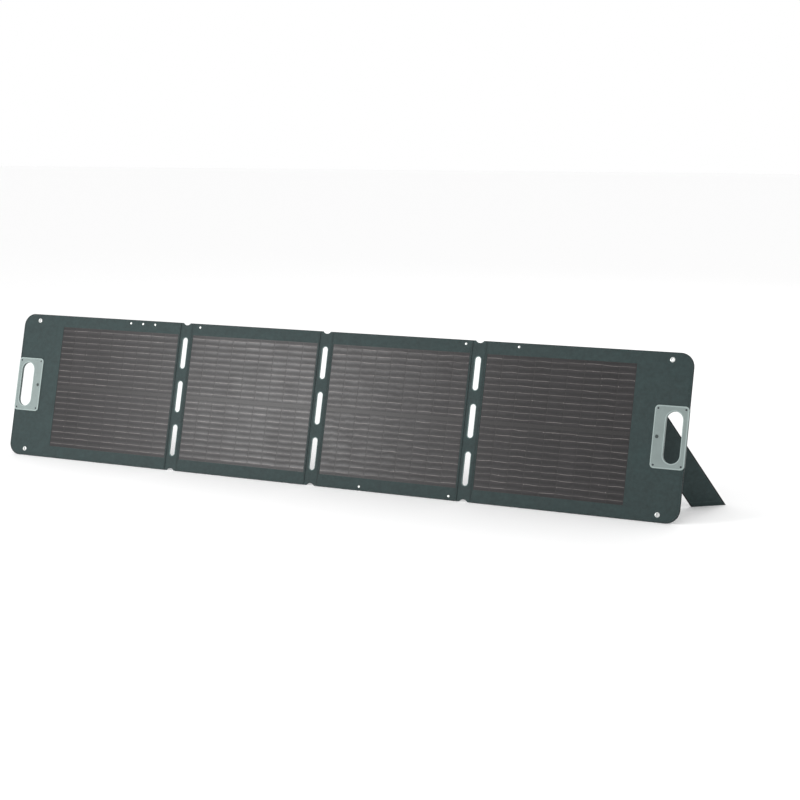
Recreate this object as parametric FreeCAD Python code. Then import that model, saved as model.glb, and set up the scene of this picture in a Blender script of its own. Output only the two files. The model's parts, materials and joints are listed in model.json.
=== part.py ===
"""Folding solar panel: four hinged segments standing open on two swing-out kickstands.

Every piece is first laid out in the panel's own axes: X along the row of segments, Z up the
slope of the face, Y the depth from the front face to the back.  One placement at the end leans
the panel back and sets its lowest edge and its feet on the ground plane.  Millimetres.
"""
import FreeCAD, Part
import math
import os
from FreeCAD import Vector

# ---- overall sizes ----------------------------------------------------------------------
PANEL_HEIGHT = 450.0          # bottom edge to top edge, along the slope
FOLD_PITCH = 487.0            # one fold line to the next
HANDLE_MARGIN = 130.0         # how much longer an end segment is than a middle one
OUTER_CORNER_RADIUS = 38.0
LEAN_ANGLE = 14.0             # back from the vertical, degrees

# ---- layers, from the front face backwards ----------------------------------------------
FACE_THICKNESS = 0.8
BOARD_THICKNESS = 2.4
COVER_THICKNESS = 0.8         # back cloth, and the rim that it makes round the edge
CELL_THICKNESS = 0.35
BUSBAR_THICKNESS = 0.15
PANEL_THICKNESS = FACE_THICKNESS + BOARD_THICKNESS + COVER_THICKNESS

# ---- fold bands -------------------------------------------------------------------------
BAND_HALF_WIDTH = 20.0
BAND_THICKNESS = 2.2
BAND_GAP = 0.1                # from each half to the fold line
FOLD_AXIS_OFFSET = 1.5        # from the face that closes on its neighbour
SLOT_COUNT = 3
SLOT_WIDTH = 17.0
SLOT_END_MARGIN = 45.0
SLOT_WEB = 39.0
NOTCH_WIDTH = 25.0
NOTCH_DEPTH = 6.5

# ---- solar cells ------------------------------------------------------------------------
CELL_WIDTH = 45.5
CELL_HEIGHT = 182.0
CELL_COLUMN_GAP = 2.8
CELL_ROW_GAP = 11.0
CELL_EDGE_MARGIN = 6.0        # least distance from the cells to the edge of the board
WINDOW_CLEARANCE = 1.5        # round the cells, inside the frame of the face sheet
BUSBARS_PER_CELL = 10
BUSBAR_WIDTH = 1.0

# ---- corner eyelets ---------------------------------------------------------------------
EYELET_FROM_END = 60.0
EYELET_FROM_EDGE = 20.0
EYELET_BORE_RADIUS = 3.5
EYELET_BARREL_WALL = 0.8
EYELET_FLANGE_RADIUS = 7.0
EYELET_FLANGE_THICKNESS = 0.8
FASTENER_CLEARANCE = 0.1

# ---- rivets along the edges -------------------------------------------------------------
RIVET_FROM_EDGE = 11.0
RIVET_SHANK_RADIUS = 1.8
RIVET_HEAD_RADIUS = 3.6
RIVET_HEAD_THICKNESS = 0.7
RIVET_TAIL_THICKNESS = 0.5
TOP = "top"
BOTTOM = "bottom"
LEFT = "left"
RIGHT = "right"
# each rivet: the edge it is on, the side of the segment it is measured from, and how far
EDGE_RIVETS = {
    1: [(TOP, RIGHT, 206.0), (TOP, RIGHT, 161.0), (TOP, RIGHT, 116.0)],
    2: [(TOP, LEFT, 49.0)],
    3: [(TOP, RIGHT, 41.0), (BOTTOM, LEFT, 160.0), (BOTTOM, RIGHT, 45.0)],
    4: [(TOP, LEFT, 119.0)],
}

# ---- carrying handles -------------------------------------------------------------------
HANDLE_WIDTH = 94.0
HANDLE_HEIGHT = 168.0
HANDLE_PLATE_THICKNESS = 2.6
HANDLE_CORNER_RADIUS = 11.0
HANDLE_EDGE_ROUND = 1.0
HAND_HOLE_WIDTH = 46.0
HAND_HOLE_HEIGHT = 138.0
HAND_HOLE_FROM_END = 15.0
HANDLE_COLLAR_WALL = 2.0
HANDLE_COLLAR_CLEARANCE = 0.2
HANDLE_SCREW_INSET = 9.0
SCREW_SHANK_RADIUS = 1.5
SCREW_HEAD_RADIUS = 2.8
SCREW_HEAD_THICKNESS = 1.2
SCREW_HEAD_SINK = 0.3
STUD_RADIUS = 4.5
STUD_THICKNESS = 1.2
STUD_STANDS_PROUD = 0.5
STUD_FROM_INNER_EDGE = 12.0

# ---- kickstands -------------------------------------------------------------------------
STAND_HINGE_FROM_END = 114.0  # highest point of the hinge line, from the panel's end
STAND_HINGE_ABOVE_MIDDLE = 120.0  # the same point, up the slope from mid-height
STAND_HINGE_SLANT = 64.5      # hinge line above the long direction, degrees
STAND_OPEN_ANGLE = 47.3       # leg above the panel's back when it stands, degrees
STAND_WIDTH = 83.0
STAND_LEG_THICKNESS = 4.0
STAND_COVER_THICKNESS = 0.8
HINGE_AXIS_HEIGHT = 4.6       # above the back cloth
HINGE_KNUCKLE_RADIUS = 3.4
HINGE_PIN_RADIUS = 1.5
HINGE_PIN_HEAD_RADIUS = 2.6
HINGE_PIN_HEAD_THICKNESS = 1.0
HINGE_PIN_FIT = 0.01          # round the pin, in the fixed knuckles that grip it
HINGE_RUNNING_CLEARANCE = 0.05
HINGE_SIDE_CLEARANCE = 0.4
HINGE_FIXED_KNUCKLE_LENGTH = 14.0
HINGE_MOVING_KNUCKLE_LENGTH = 20.6
HINGE_FIXED_KNUCKLES = 3
HINGE_BASE_WIDTH = 30.0
HINGE_BASE_THICKNESS = 1.6
SHOE_SETBACK = 4.6            # from the hinge line to the shoe's body
SHOE_WEB = 3.4
SHOE_LENGTH = 30.0
STOP_START = 5.0              # contact of the leg on its stop ribs, along the leg
STOP_END = 20.0
STOP_GAP = 0.02
STAND_RIVET_RADIUS = 2.0
STAND_RIVET_HEAD_RADIUS = 4.0
STAND_RIVET_HEAD_THICKNESS = 0.9
LEG_REACH = 900.0             # longer than any leg; the ground trims it

# ---- junction box -----------------------------------------------------------------------
BOX_FROM_FOLD = 150.0         # centre, from the last fold
BOX_HEIGHT_ON_PANEL = 120.0   # centre, up the slope
BOX_LENGTH = 112.0
BOX_WIDTH = 66.0
BOX_DEPTH = 13.0
BOX_WALL = 2.0
BOX_CORNER_RADIUS = 5.0
BOX_LEAST_RADIUS = 1.0        # of the corners inside the tray
LID_THICKNESS = 2.0
GASKET_THICKNESS = 0.8
GASKET_WIDTH = 1.2
BOX_SCREW_INSET = 6.0
BOX_SCREW_RADIUS = 1.2
BOX_SCREW_HEAD_RADIUS = 2.4
BOX_SCREW_HEAD_THICKNESS = 1.3
BOX_SCREW_TIP_GAP = 2.0       # from the tray's floor
BOX_POST_RADIUS = 5.0
CIRCUIT_THICKNESS = 1.6
CIRCUIT_CLEARANCE = 6.5
DIODE_LENGTH = 8.0
DIODE_WIDTH = 5.4
DIODE_SPACING = 16.0
DIODE_HEIGHT = 3.5
SOCKET_RADIUS = 5.0
SOCKET_BORE_RADIUS = 2.75
SOCKET_FLANGE_RADIUS = 6.2
SOCKET_FLANGE_THICKNESS = 1.6
SOCKET_INSIDE_LENGTH = 9.0
SOCKET_CLEARANCE = 0.1

# ---- places worked out from the sizes ---------------------------------------------------
FOLD_LINES = [-FOLD_PITCH, 0.0, FOLD_PITCH]
PANEL_END = FOLD_PITCH + FOLD_PITCH + HANDLE_MARGIN
MID_HEIGHT = PANEL_HEIGHT / 2.0
BOARD_FRONT = FACE_THICKNESS
BOARD_BACK = FACE_THICKNESS + BOARD_THICKNESS
LEAN = math.radians(LEAN_ANGLE)
SLANT = math.radians(STAND_HINGE_SLANT)
FRONT_AXIS_DEPTH = -FOLD_AXIS_OFFSET
BACK_AXIS_DEPTH = PANEL_THICKNESS + FOLD_AXIS_OFFSET
# folds 1 and 3 close face to face, fold 2 closes back to back
FOLD_AXIS_DEPTHS = [FRONT_AXIS_DEPTH, BACK_AXIS_DEPTH, FRONT_AXIS_DEPTH]
SEGMENT_SPANS = {
    1: (-PANEL_END, -FOLD_PITCH),
    2: (-FOLD_PITCH, 0.0),
    3: (0.0, FOLD_PITCH),
    4: (FOLD_PITCH, PANEL_END),
}
SPILL = 5.0                   # how far a cutting tool runs past the piece that it cuts
EDGE_TOLERANCE = 0.01         # when an edge is picked by its place


# ---- building blocks --------------------------------------------------------------------
def box(x0, x1, y0, y1, z0, z1):
    """A rectangular block between two opposite corners."""
    return Part.makeBox(x1 - x0, y1 - y0, z1 - z0, Vector(x0, y0, z0))


def post(x, z, radius, y0, y1):
    """A round bar through the depth of the panel."""
    return Part.makeCylinder(radius, y1 - y0, Vector(x, y0, z), Vector(0, 1, 0))


def rounded_block(x0, x1, y0, y1, z0, z1, radius):
    """A block whose four edges along the depth are rounded."""
    block = box(x0, x1, y0, y1, z0, z1)
    return block.makeFillet(radius, depth_edges(block, None))


def depth_edges(shape, at_x):
    """The straight edges along the depth, at one X or at any."""
    found = []
    for edge in shape.Edges:
        bounds = edge.BoundBox
        runs_deep = max(bounds.XLength, bounds.ZLength) < EDGE_TOLERANCE
        if runs_deep and (at_x is None or abs(bounds.XMax - at_x) < EDGE_TOLERANCE):
            found.append(edge)
    return found


def stadium(x, z, width, height, y0, y1):
    """An upright slot shape with round ends."""
    radius = width / 2.0
    reach = height / 2.0 - radius
    middle = box(x - radius, x + radius, y0, y1, z - reach, z + reach)
    ends = [post(x, z - reach, radius, y0, y1), post(x, z + reach, radius, y0, y1)]
    return middle.fuse(ends).removeSplitter()


def cut_all(shape, tools):
    """The shape with every tool taken out of it."""
    return shape.cut(tools) if tools else shape


def group(solids):
    """Separate solids that share one node."""
    return Part.makeCompound(solids)


# ---- segments ---------------------------------------------------------------------------
def rigid_span(number):
    """Left and right limits of the stiff part of a segment, between its fold bands."""
    left, right = SEGMENT_SPANS[number]
    if number > 1:
        left = left + BAND_HALF_WIDTH
    if number < 4:
        right = right - BAND_HALF_WIDTH
    return left, right


def segment_slab(number, inset, y0, y1):
    """The outline of a segment as a slab, drawn in from its free edges by an inset."""
    left, right = rigid_span(number)
    outer_x = None
    if number == 1:
        left = left + inset
        outer_x = left
    if number == 4:
        right = right - inset
        outer_x = right
    slab = box(left, right, y0, y1, inset, PANEL_HEIGHT - inset)
    if outer_x is not None:
        slab = slab.makeFillet(OUTER_CORNER_RADIUS - inset, depth_edges(slab, outer_x))
    return slab


def cell_field(number):
    """Column edges and row edges of the cells: lower X of each column, lower Z of each row."""
    left, right = rigid_span(number)
    if number == 1:
        left = right - (FOLD_PITCH - BAND_HALF_WIDTH - BAND_HALF_WIDTH)
    if number == 4:
        right = left + (FOLD_PITCH - BAND_HALF_WIDTH - BAND_HALF_WIDTH)
    room_x = right - left - CELL_EDGE_MARGIN - CELL_EDGE_MARGIN
    room_z = PANEL_HEIGHT - CELL_EDGE_MARGIN - CELL_EDGE_MARGIN
    column_pitch = CELL_WIDTH + CELL_COLUMN_GAP
    row_pitch = CELL_HEIGHT + CELL_ROW_GAP
    columns = int((room_x + CELL_COLUMN_GAP) / column_pitch)
    rows = int((room_z + CELL_ROW_GAP) / row_pitch)
    field_width = columns * column_pitch - CELL_COLUMN_GAP
    field_height = rows * row_pitch - CELL_ROW_GAP
    first_x = (left + right - field_width) / 2.0
    first_z = MID_HEIGHT - field_height / 2.0
    column_edges = [first_x + column_pitch * i for i in range(columns)]
    row_edges = [first_z + row_pitch * i for i in range(rows)]
    return column_edges, row_edges


def make_cells(number):
    """Wafers that lie on the board inside the window of the face sheet."""
    column_edges, row_edges = cell_field(number)
    top = BOARD_FRONT - CELL_THICKNESS
    return group([box(x, x + CELL_WIDTH, top, BOARD_FRONT, z, z + CELL_HEIGHT)
                  for x in column_edges for z in row_edges])


def make_busbars(number):
    """Flat tinned ribbons that join the wafers of each row."""
    column_edges, row_edges = cell_field(number)
    pitch = CELL_HEIGHT / BUSBARS_PER_CELL
    back = BOARD_FRONT - CELL_THICKNESS
    front = back - BUSBAR_THICKNESS
    left = column_edges[0]
    right = column_edges[-1] + CELL_WIDTH
    ribbons = []
    for row in row_edges:
        for i in range(BUSBARS_PER_CELL):
            low = row + pitch * (i + 0.5) - BUSBAR_WIDTH / 2.0
            ribbons.append(box(left, right, front, back, low, low + BUSBAR_WIDTH))
    return group(ribbons)


def eyelet_places(number):
    """Centres of the corner eyelets of an end segment."""
    if number not in (1, 4):
        return []
    side = -1.0 if number == 1 else 1.0
    x = side * (PANEL_END - EYELET_FROM_END)
    return [(x, EYELET_FROM_EDGE), (x, PANEL_HEIGHT - EYELET_FROM_EDGE)]


def rivet_places(number):
    """Centres of the edge rivets of a segment."""
    left, right = SEGMENT_SPANS[number]
    heights = {TOP: PANEL_HEIGHT - RIVET_FROM_EDGE, BOTTOM: RIVET_FROM_EDGE}
    places = []
    for edge, side, along in EDGE_RIVETS[number]:
        x = left + along if side == LEFT else right - along
        places.append((x, heights[edge]))
    return places


def handle_frame(number):
    """Limits of a handle plate, centre of its hand hole, and centres of its screws."""
    side = -1.0 if number == 1 else 1.0
    outer = side * PANEL_END
    inner = side * (PANEL_END - HANDLE_WIDTH)
    left, right = min(inner, outer), max(inner, outer)
    low = MID_HEIGHT - HANDLE_HEIGHT / 2.0
    high = MID_HEIGHT + HANDLE_HEIGHT / 2.0
    hole_x = side * (PANEL_END - HAND_HOLE_FROM_END - HAND_HOLE_WIDTH / 2.0)
    screws = [(x, z) for x in (left + HANDLE_SCREW_INSET, right - HANDLE_SCREW_INSET)
              for z in (low + HANDLE_SCREW_INSET, high - HANDLE_SCREW_INSET)]
    stud_x = inner + side * STUD_FROM_INNER_EDGE
    return left, right, low, high, hole_x, screws, stud_x


def layer_holes(number):
    """What passes through every layer of a segment, with its clearance."""
    front = -SPILL
    back = PANEL_THICKNESS + SPILL
    barrel = EYELET_BORE_RADIUS + EYELET_BARREL_WALL + FASTENER_CLEARANCE
    tools = [post(x, z, barrel, front, back) for x, z in eyelet_places(number)]
    tools += [post(x, z, RIVET_SHANK_RADIUS + FASTENER_CLEARANCE, front, back)
              for x, z in rivet_places(number)]
    if number in (1, 4):
        hole_x, screws = handle_frame(number)[4:6]
        grow = 2.0 * (HANDLE_COLLAR_WALL + HANDLE_COLLAR_CLEARANCE)
        tools.append(stadium(hole_x, MID_HEIGHT, HAND_HOLE_WIDTH + grow, HAND_HOLE_HEIGHT + grow,
                             front, back))
        tools += [post(x, z, SCREW_SHANK_RADIUS + FASTENER_CLEARANCE, front, back) for x, z in screws]
    return tools


def make_face_sheet(number):
    """Front cloth of a segment: a frame round the field of cells."""
    column_edges, row_edges = cell_field(number)
    window = box(column_edges[0] - WINDOW_CLEARANCE, column_edges[-1] + CELL_WIDTH + WINDOW_CLEARANCE,
                 -SPILL, PANEL_THICKNESS, row_edges[0] - WINDOW_CLEARANCE,
                 row_edges[-1] + CELL_HEIGHT + WINDOW_CLEARANCE)
    return cut_all(segment_slab(number, COVER_THICKNESS, 0.0, BOARD_FRONT), [window] + layer_holes(number))


def make_core_board(number):
    """Stiff board that carries the cells."""
    slab = segment_slab(number, COVER_THICKNESS, BOARD_FRONT, BOARD_BACK)
    return cut_all(slab, layer_holes(number) + stand_rivet_holes(number))


def make_back_cover(number):
    """Back cloth, with the rim that wraps the edge of the board."""
    slab = segment_slab(number, 0.0, 0.0, PANEL_THICKNESS)
    core = segment_slab(number, COVER_THICKNESS, -SPILL, BOARD_BACK)
    return cut_all(slab, [core] + layer_holes(number) + stand_rivet_holes(number))


def slot_places():
    """Centre heights and length of the slots of a fold."""
    length = (PANEL_HEIGHT - 2.0 * SLOT_END_MARGIN - (SLOT_COUNT - 1) * SLOT_WEB) / SLOT_COUNT
    first = SLOT_END_MARGIN + length / 2.0
    return [first + (length + SLOT_WEB) * i for i in range(SLOT_COUNT)], length


def make_fold_half(index, side):
    """Half of the flexible band of one fold, on the side of the segment that it belongs to."""
    fold = FOLD_LINES[index]
    near = fold + side * BAND_GAP
    far = fold + side * BAND_HALF_WIDTH
    front = (PANEL_THICKNESS - BAND_THICKNESS) / 2.0
    back = front + BAND_THICKNESS
    band = box(min(near, far), max(near, far), front, back, 0.0, PANEL_HEIGHT)
    heights, length = slot_places()
    tools = [stadium(fold, z, SLOT_WIDTH, length, -SPILL, PANEL_THICKNESS + SPILL) for z in heights]
    radius = ((NOTCH_WIDTH / 2.0) ** 2 + NOTCH_DEPTH ** 2) / (2.0 * NOTCH_DEPTH)
    for centre in (NOTCH_DEPTH - radius, PANEL_HEIGHT - NOTCH_DEPTH + radius):
        tools.append(post(fold, centre, radius, -SPILL, PANEL_THICKNESS + SPILL))
    return band.cut(tools)


def make_eyelets(number):
    """Rolled metal grommets, flanged on both faces."""
    solids = []
    barrel = EYELET_BORE_RADIUS + EYELET_BARREL_WALL
    front = -EYELET_FLANGE_THICKNESS
    back = PANEL_THICKNESS + EYELET_FLANGE_THICKNESS
    for x, z in eyelet_places(number):
        body = post(x, z, barrel, front, back)
        body = body.fuse([post(x, z, EYELET_FLANGE_RADIUS, front, 0.0),
                          post(x, z, EYELET_FLANGE_RADIUS, PANEL_THICKNESS, back)])
        body = body.cut(post(x, z, EYELET_BORE_RADIUS, front - SPILL, back + SPILL))
        solids.append(body.removeSplitter())
    return group(solids)


def make_edge_rivets(number):
    """Small rivets through all the layers along the edges."""
    solids = []
    for x, z in rivet_places(number):
        body = post(x, z, RIVET_SHANK_RADIUS, -RIVET_HEAD_THICKNESS, PANEL_THICKNESS + RIVET_TAIL_THICKNESS)
        head = post(x, z, RIVET_HEAD_RADIUS, -RIVET_HEAD_THICKNESS, 0.0)
        tail = post(x, z, RIVET_HEAD_RADIUS, PANEL_THICKNESS, PANEL_THICKNESS + RIVET_TAIL_THICKNESS)
        solids.append(body.fuse([head, tail]).removeSplitter())
    return group(solids)


# ---- handles ----------------------------------------------------------------------------
def make_handle_front(number):
    """Front plate with the collar that lines the hand hole, screw seats and a stud seat."""
    left, right, low, high, hole_x, screws, stud_x = handle_frame(number)
    plate = rounded_block(left, right, -HANDLE_PLATE_THICKNESS, 0.0, low, high, HANDLE_CORNER_RADIUS)
    front_rim = [e for e in plate.Edges if e.BoundBox.YMax < -HANDLE_PLATE_THICKNESS + EDGE_TOLERANCE]
    plate = plate.makeFillet(HANDLE_EDGE_ROUND, front_rim)
    grow = 2.0 * HANDLE_COLLAR_WALL
    collar = stadium(hole_x, MID_HEIGHT, HAND_HOLE_WIDTH + grow, HAND_HOLE_HEIGHT + grow,
                     -SCREW_HEAD_SINK, PANEL_THICKNESS)
    tools = [stadium(hole_x, MID_HEIGHT, HAND_HOLE_WIDTH, HAND_HOLE_HEIGHT,
                     -HANDLE_PLATE_THICKNESS - SPILL, PANEL_THICKNESS + SPILL)]
    seat = -HANDLE_PLATE_THICKNESS + SCREW_HEAD_SINK + SCREW_HEAD_THICKNESS
    for x, z in screws:
        tools.append(post(x, z, SCREW_HEAD_RADIUS + FASTENER_CLEARANCE, seat - SPILL, seat))
        tools.append(post(x, z, SCREW_SHANK_RADIUS + FASTENER_CLEARANCE, -SPILL, SPILL))
    stud_seat = -HANDLE_PLATE_THICKNESS - STUD_STANDS_PROUD + STUD_THICKNESS
    tools.append(post(stud_x, MID_HEIGHT, STUD_RADIUS + FASTENER_CLEARANCE, stud_seat - SPILL, stud_seat))
    return plate.fuse(collar).cut(tools).removeSplitter()


def make_handle_back(number):
    """Back plate that the screws bite into."""
    left, right, low, high, hole_x, screws, _ = handle_frame(number)
    back = PANEL_THICKNESS + HANDLE_PLATE_THICKNESS
    plate = rounded_block(left, right, PANEL_THICKNESS, back, low, high, HANDLE_CORNER_RADIUS)
    rear_rim = [e for e in plate.Edges if e.BoundBox.YMin > back - EDGE_TOLERANCE]
    plate = plate.makeFillet(HANDLE_EDGE_ROUND, rear_rim)
    tools = [stadium(hole_x, MID_HEIGHT, HAND_HOLE_WIDTH, HAND_HOLE_HEIGHT, 0.0, back + SPILL)]
    tools += [post(x, z, SCREW_SHANK_RADIUS, 0.0, back - SCREW_HEAD_SINK) for x, z in screws]
    return plate.cut(tools)


def make_handle_screws(number):
    """Four screws that clamp the two plates over the layers."""
    screws = handle_frame(number)[5]
    head_front = -HANDLE_PLATE_THICKNESS + SCREW_HEAD_SINK
    seat = head_front + SCREW_HEAD_THICKNESS
    tip = PANEL_THICKNESS + HANDLE_PLATE_THICKNESS - SCREW_HEAD_SINK
    solids = []
    for x, z in screws:
        shank = post(x, z, SCREW_SHANK_RADIUS, head_front, tip)
        solids.append(shank.fuse(post(x, z, SCREW_HEAD_RADIUS, head_front, seat)).removeSplitter())
    return group(solids)


def make_handle_stud(number):
    """Closing stud sunk in the front plate."""
    stud_x = handle_frame(number)[6]
    front = -HANDLE_PLATE_THICKNESS - STUD_STANDS_PROUD
    return post(stud_x, MID_HEIGHT, STUD_RADIUS, front, front + STUD_THICKNESS)


# ---- kickstands -------------------------------------------------------------------------
# A stand is drawn in hinge axes: X along the hinge line, Y away from it towards the panel's
# end, Z off the panel's back.  The right-hand stand is drawn; the left-hand one mirrors it.
HINGE_LINE_LENGTH = STAND_WIDTH / math.cos(math.pi / 2.0 - SLANT)
LEG_DIRECTION = math.pi - SLANT       # of the leg from the hinge line, so that it stows level


def knuckle_spans():
    """Start and end of each knuckle along the hinge line, fixed ones first and last."""
    moving = HINGE_FIXED_KNUCKLES - 1
    total = (HINGE_FIXED_KNUCKLES * HINGE_FIXED_KNUCKLE_LENGTH + moving * HINGE_MOVING_KNUCKLE_LENGTH
             + 2 * moving * HINGE_SIDE_CLEARANCE)
    start = -total / 2.0
    fixed_spans = []
    moving_spans = []
    for i in range(HINGE_FIXED_KNUCKLES + moving):
        is_fixed = i % 2 == 0
        length = HINGE_FIXED_KNUCKLE_LENGTH if is_fixed else HINGE_MOVING_KNUCKLE_LENGTH
        spans = fixed_spans if is_fixed else moving_spans
        spans.append((start, start + length))
        start = start + length + HINGE_SIDE_CLEARANCE
    return fixed_spans, moving_spans


def hinge_bar(x0, x1, radius):
    """A round bar along the hinge line."""
    return Part.makeCylinder(radius, x1 - x0, Vector(x0, 0, 0), Vector(1, 0, 0))


def hinge_placement(shape):
    """Sets a shape drawn in hinge axes on the panel's back."""
    along = Vector(math.cos(SLANT), 0, math.sin(SLANT))
    outward = Vector(math.sin(SLANT), 0, -math.cos(SLANT))
    off_back = Vector(0, 1, 0)
    centre = hinge_centre()
    matrix = FreeCAD.Matrix(along.x, outward.x, off_back.x, centre.x,
                            along.y, outward.y, off_back.y, centre.y,
                            along.z, outward.z, off_back.z, centre.z,
                            0, 0, 0, 1)
    placed = shape.copy()
    placed.transformShape(matrix, True)
    return placed


def hinge_centre():
    """Middle of the hinge line of the right-hand stand."""
    half = HINGE_LINE_LENGTH / 2.0
    return Vector(PANEL_END - STAND_HINGE_FROM_END - half * math.cos(SLANT),
                  PANEL_THICKNESS + HINGE_AXIS_HEIGHT,
                  MID_HEIGHT + STAND_HINGE_ABOVE_MIDDLE - half * math.sin(SLANT))


def open_leg(shape):
    """Turns a leg piece from flat against the back to its standing angle."""
    turned = shape.copy()
    turned.rotate(Vector(0, 0, 0), Vector(1, 0, 0), STAND_OPEN_ANGLE)
    return turned


def leg_strip(start, end, side_inset, half_thickness):
    """A length of the leg between two distances from the hinge line."""
    lean_per_length = math.cos(LEG_DIRECTION) / math.sin(LEG_DIRECTION)
    half = HINGE_LINE_LENGTH / 2.0 - side_inset / math.sin(LEG_DIRECTION)
    corners = []
    for along, distance in ((-half, start), (half, start), (half, end), (-half, end)):
        corners.append(Vector(along + distance * lean_per_length, distance, -half_thickness))
    face = Part.Face(Part.makePolygon(corners + [corners[0]]))
    return face.extrude(Vector(0, 0, 2.0 * half_thickness))


def stand_rivet_spots():
    """Rivets of a hinge base along and away from the hinge line, between its stop ribs."""
    moving_spans = knuckle_spans()[1]
    away = HINGE_BASE_WIDTH - 2.0 * STAND_RIVET_HEAD_RADIUS
    return [((x0 + x1) / 2.0, away) for x0, x1 in moving_spans]


def shoe_rivet_spots():
    """Rivets of a shoe, down the middle of the leg's width."""
    distance = SHOE_SETBACK + SHOE_WEB + (SHOE_LENGTH - SHOE_WEB) / 2.0
    drift = distance * math.cos(LEG_DIRECTION) / math.sin(LEG_DIRECTION)
    third = HINGE_LINE_LENGTH / 3.0
    return [(drift - third, distance), (drift, distance), (drift + third, distance)]


def upright_bar(x, y, radius, z0, z1):
    """A round bar off the panel's back, in hinge axes."""
    return Part.makeCylinder(radius, z1 - z0, Vector(x, y, z0), Vector(0, 0, 1))


def stand_rivet_holes(number):
    """Holes of a hinge base's rivets through the board and the back cloth."""
    if number not in (1, 4):
        return []
    reach = HINGE_AXIS_HEIGHT + PANEL_THICKNESS
    radius = STAND_RIVET_RADIUS + FASTENER_CLEARANCE
    tools = [hinge_placement(upright_bar(x, y, radius, -reach + FACE_THICKNESS, 0.0))
             for x, y in stand_rivet_spots()]
    return [mirrored(tool) for tool in tools] if number == 1 else tools


def make_hinge_base():
    """Moulded base on the panel's back: plate, fixed knuckles and the ribs that stop the leg."""
    fixed_spans, moving_spans = knuckle_spans()
    floor = -HINGE_AXIS_HEIGHT
    plate_top = floor + HINGE_BASE_THICKNESS
    start, end = fixed_spans[0][0], fixed_spans[-1][1]
    body = Part.makeBox(end - start, HINGE_BASE_WIDTH + HINGE_KNUCKLE_RADIUS, HINGE_BASE_THICKNESS,
                        Vector(start, -HINGE_KNUCKLE_RADIUS, floor))
    pieces = []
    opening = math.radians(STAND_OPEN_ANGLE)
    offset = HINGE_KNUCKLE_RADIUS + STOP_GAP
    foot = Vector(0, offset * math.sin(opening), -offset * math.cos(opening))
    along_leg = Vector(0, math.cos(opening), math.sin(opening))
    low = foot + along_leg * STOP_START
    high = foot + along_leg * STOP_END
    for x0, x1 in fixed_spans:
        pieces.append(hinge_bar(x0, x1, HINGE_KNUCKLE_RADIUS))
        pieces.append(Part.makeBox(x1 - x0, 2.0 * HINGE_KNUCKLE_RADIUS, HINGE_AXIS_HEIGHT,
                                   Vector(x0, -HINGE_KNUCKLE_RADIUS, floor)))
        outline = [Vector(x0, low.y, floor), low + Vector(x0, 0, 0), high + Vector(x0, 0, 0),
                   Vector(x0, HINGE_BASE_WIDTH, plate_top), Vector(x0, HINGE_BASE_WIDTH, floor)]
        rib = Part.Face(Part.makePolygon(outline + [outline[0]]))
        pieces.append(rib.extrude(Vector(x1 - x0, 0, 0)))
    body = body.fuse(pieces)
    tools = [hinge_bar(start - SPILL, end + SPILL, HINGE_PIN_RADIUS + HINGE_PIN_FIT)]
    for x0, x1 in moving_spans:
        # room for the leg's own knuckles to turn
        sweep = SHOE_SETBACK + HINGE_SIDE_CLEARANCE
        tools.append(Part.makeBox(x1 - x0 + 2.0 * HINGE_SIDE_CLEARANCE, 2.0 * sweep + SPILL, 2.0 * SPILL,
                                  Vector(x0 - HINGE_SIDE_CLEARANCE, -sweep - SPILL, floor - SPILL)))
    tools += [upright_bar(x, y, STAND_RIVET_RADIUS + FASTENER_CLEARANCE, floor - SPILL, 0.0)
              for x, y in stand_rivet_spots()]
    return body.cut(tools).removeSplitter()


def make_hinge_shoe():
    """Moulded shoe that grips the top of the leg between two cheeks."""
    moving_spans = knuckle_spans()[1]
    half = HINGE_KNUCKLE_RADIUS
    body = leg_strip(SHOE_SETBACK, SHOE_SETBACK + SHOE_LENGTH, 0.0, half)
    pieces = []
    for x0, x1 in moving_spans:
        pieces.append(hinge_bar(x0, x1, half))
        pieces.append(Part.makeBox(x1 - x0, SHOE_SETBACK + SHOE_WEB, 2.0 * half, Vector(x0, 0, -half)))
    body = body.fuse(pieces)
    pocket = leg_strip(SHOE_SETBACK + SHOE_WEB, SHOE_SETBACK + SHOE_LENGTH + SPILL, -SPILL,
                       STAND_LEG_THICKNESS / 2.0)
    bore = HINGE_PIN_RADIUS + HINGE_RUNNING_CLEARANCE
    tools = [pocket, hinge_bar(-HINGE_LINE_LENGTH, HINGE_LINE_LENGTH, bore)]
    tools += [upright_bar(x, y, STAND_RIVET_RADIUS + FASTENER_CLEARANCE, -SPILL, SPILL)
              for x, y in shoe_rivet_spots()]
    return open_leg(body.cut(tools).removeSplitter())


def make_hinge_pin():
    """Headed steel pin through all the knuckles."""
    fixed_spans = knuckle_spans()[0]
    start, end = fixed_spans[0][0], fixed_spans[-1][1]
    shank = hinge_bar(start - HINGE_PIN_HEAD_THICKNESS, end + HINGE_PIN_HEAD_THICKNESS, HINGE_PIN_RADIUS)
    heads = [hinge_bar(start - HINGE_PIN_HEAD_THICKNESS, start, HINGE_PIN_HEAD_RADIUS),
             hinge_bar(end, end + HINGE_PIN_HEAD_THICKNESS, HINGE_PIN_HEAD_RADIUS)]
    return shank.fuse(heads).removeSplitter()


def make_base_rivets():
    """Rivets that hold a hinge base to the board."""
    floor = -HINGE_AXIS_HEIGHT
    plate_top = floor + HINGE_BASE_THICKNESS
    inner_end = floor - PANEL_THICKNESS + FACE_THICKNESS
    solids = []
    for x, y in stand_rivet_spots():
        shank = upright_bar(x, y, STAND_RIVET_RADIUS, inner_end, plate_top + STAND_RIVET_HEAD_THICKNESS)
        head = upright_bar(x, y, STAND_RIVET_HEAD_RADIUS, plate_top, plate_top + STAND_RIVET_HEAD_THICKNESS)
        solids.append(shank.fuse(head).removeSplitter())
    return group(solids)


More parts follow.
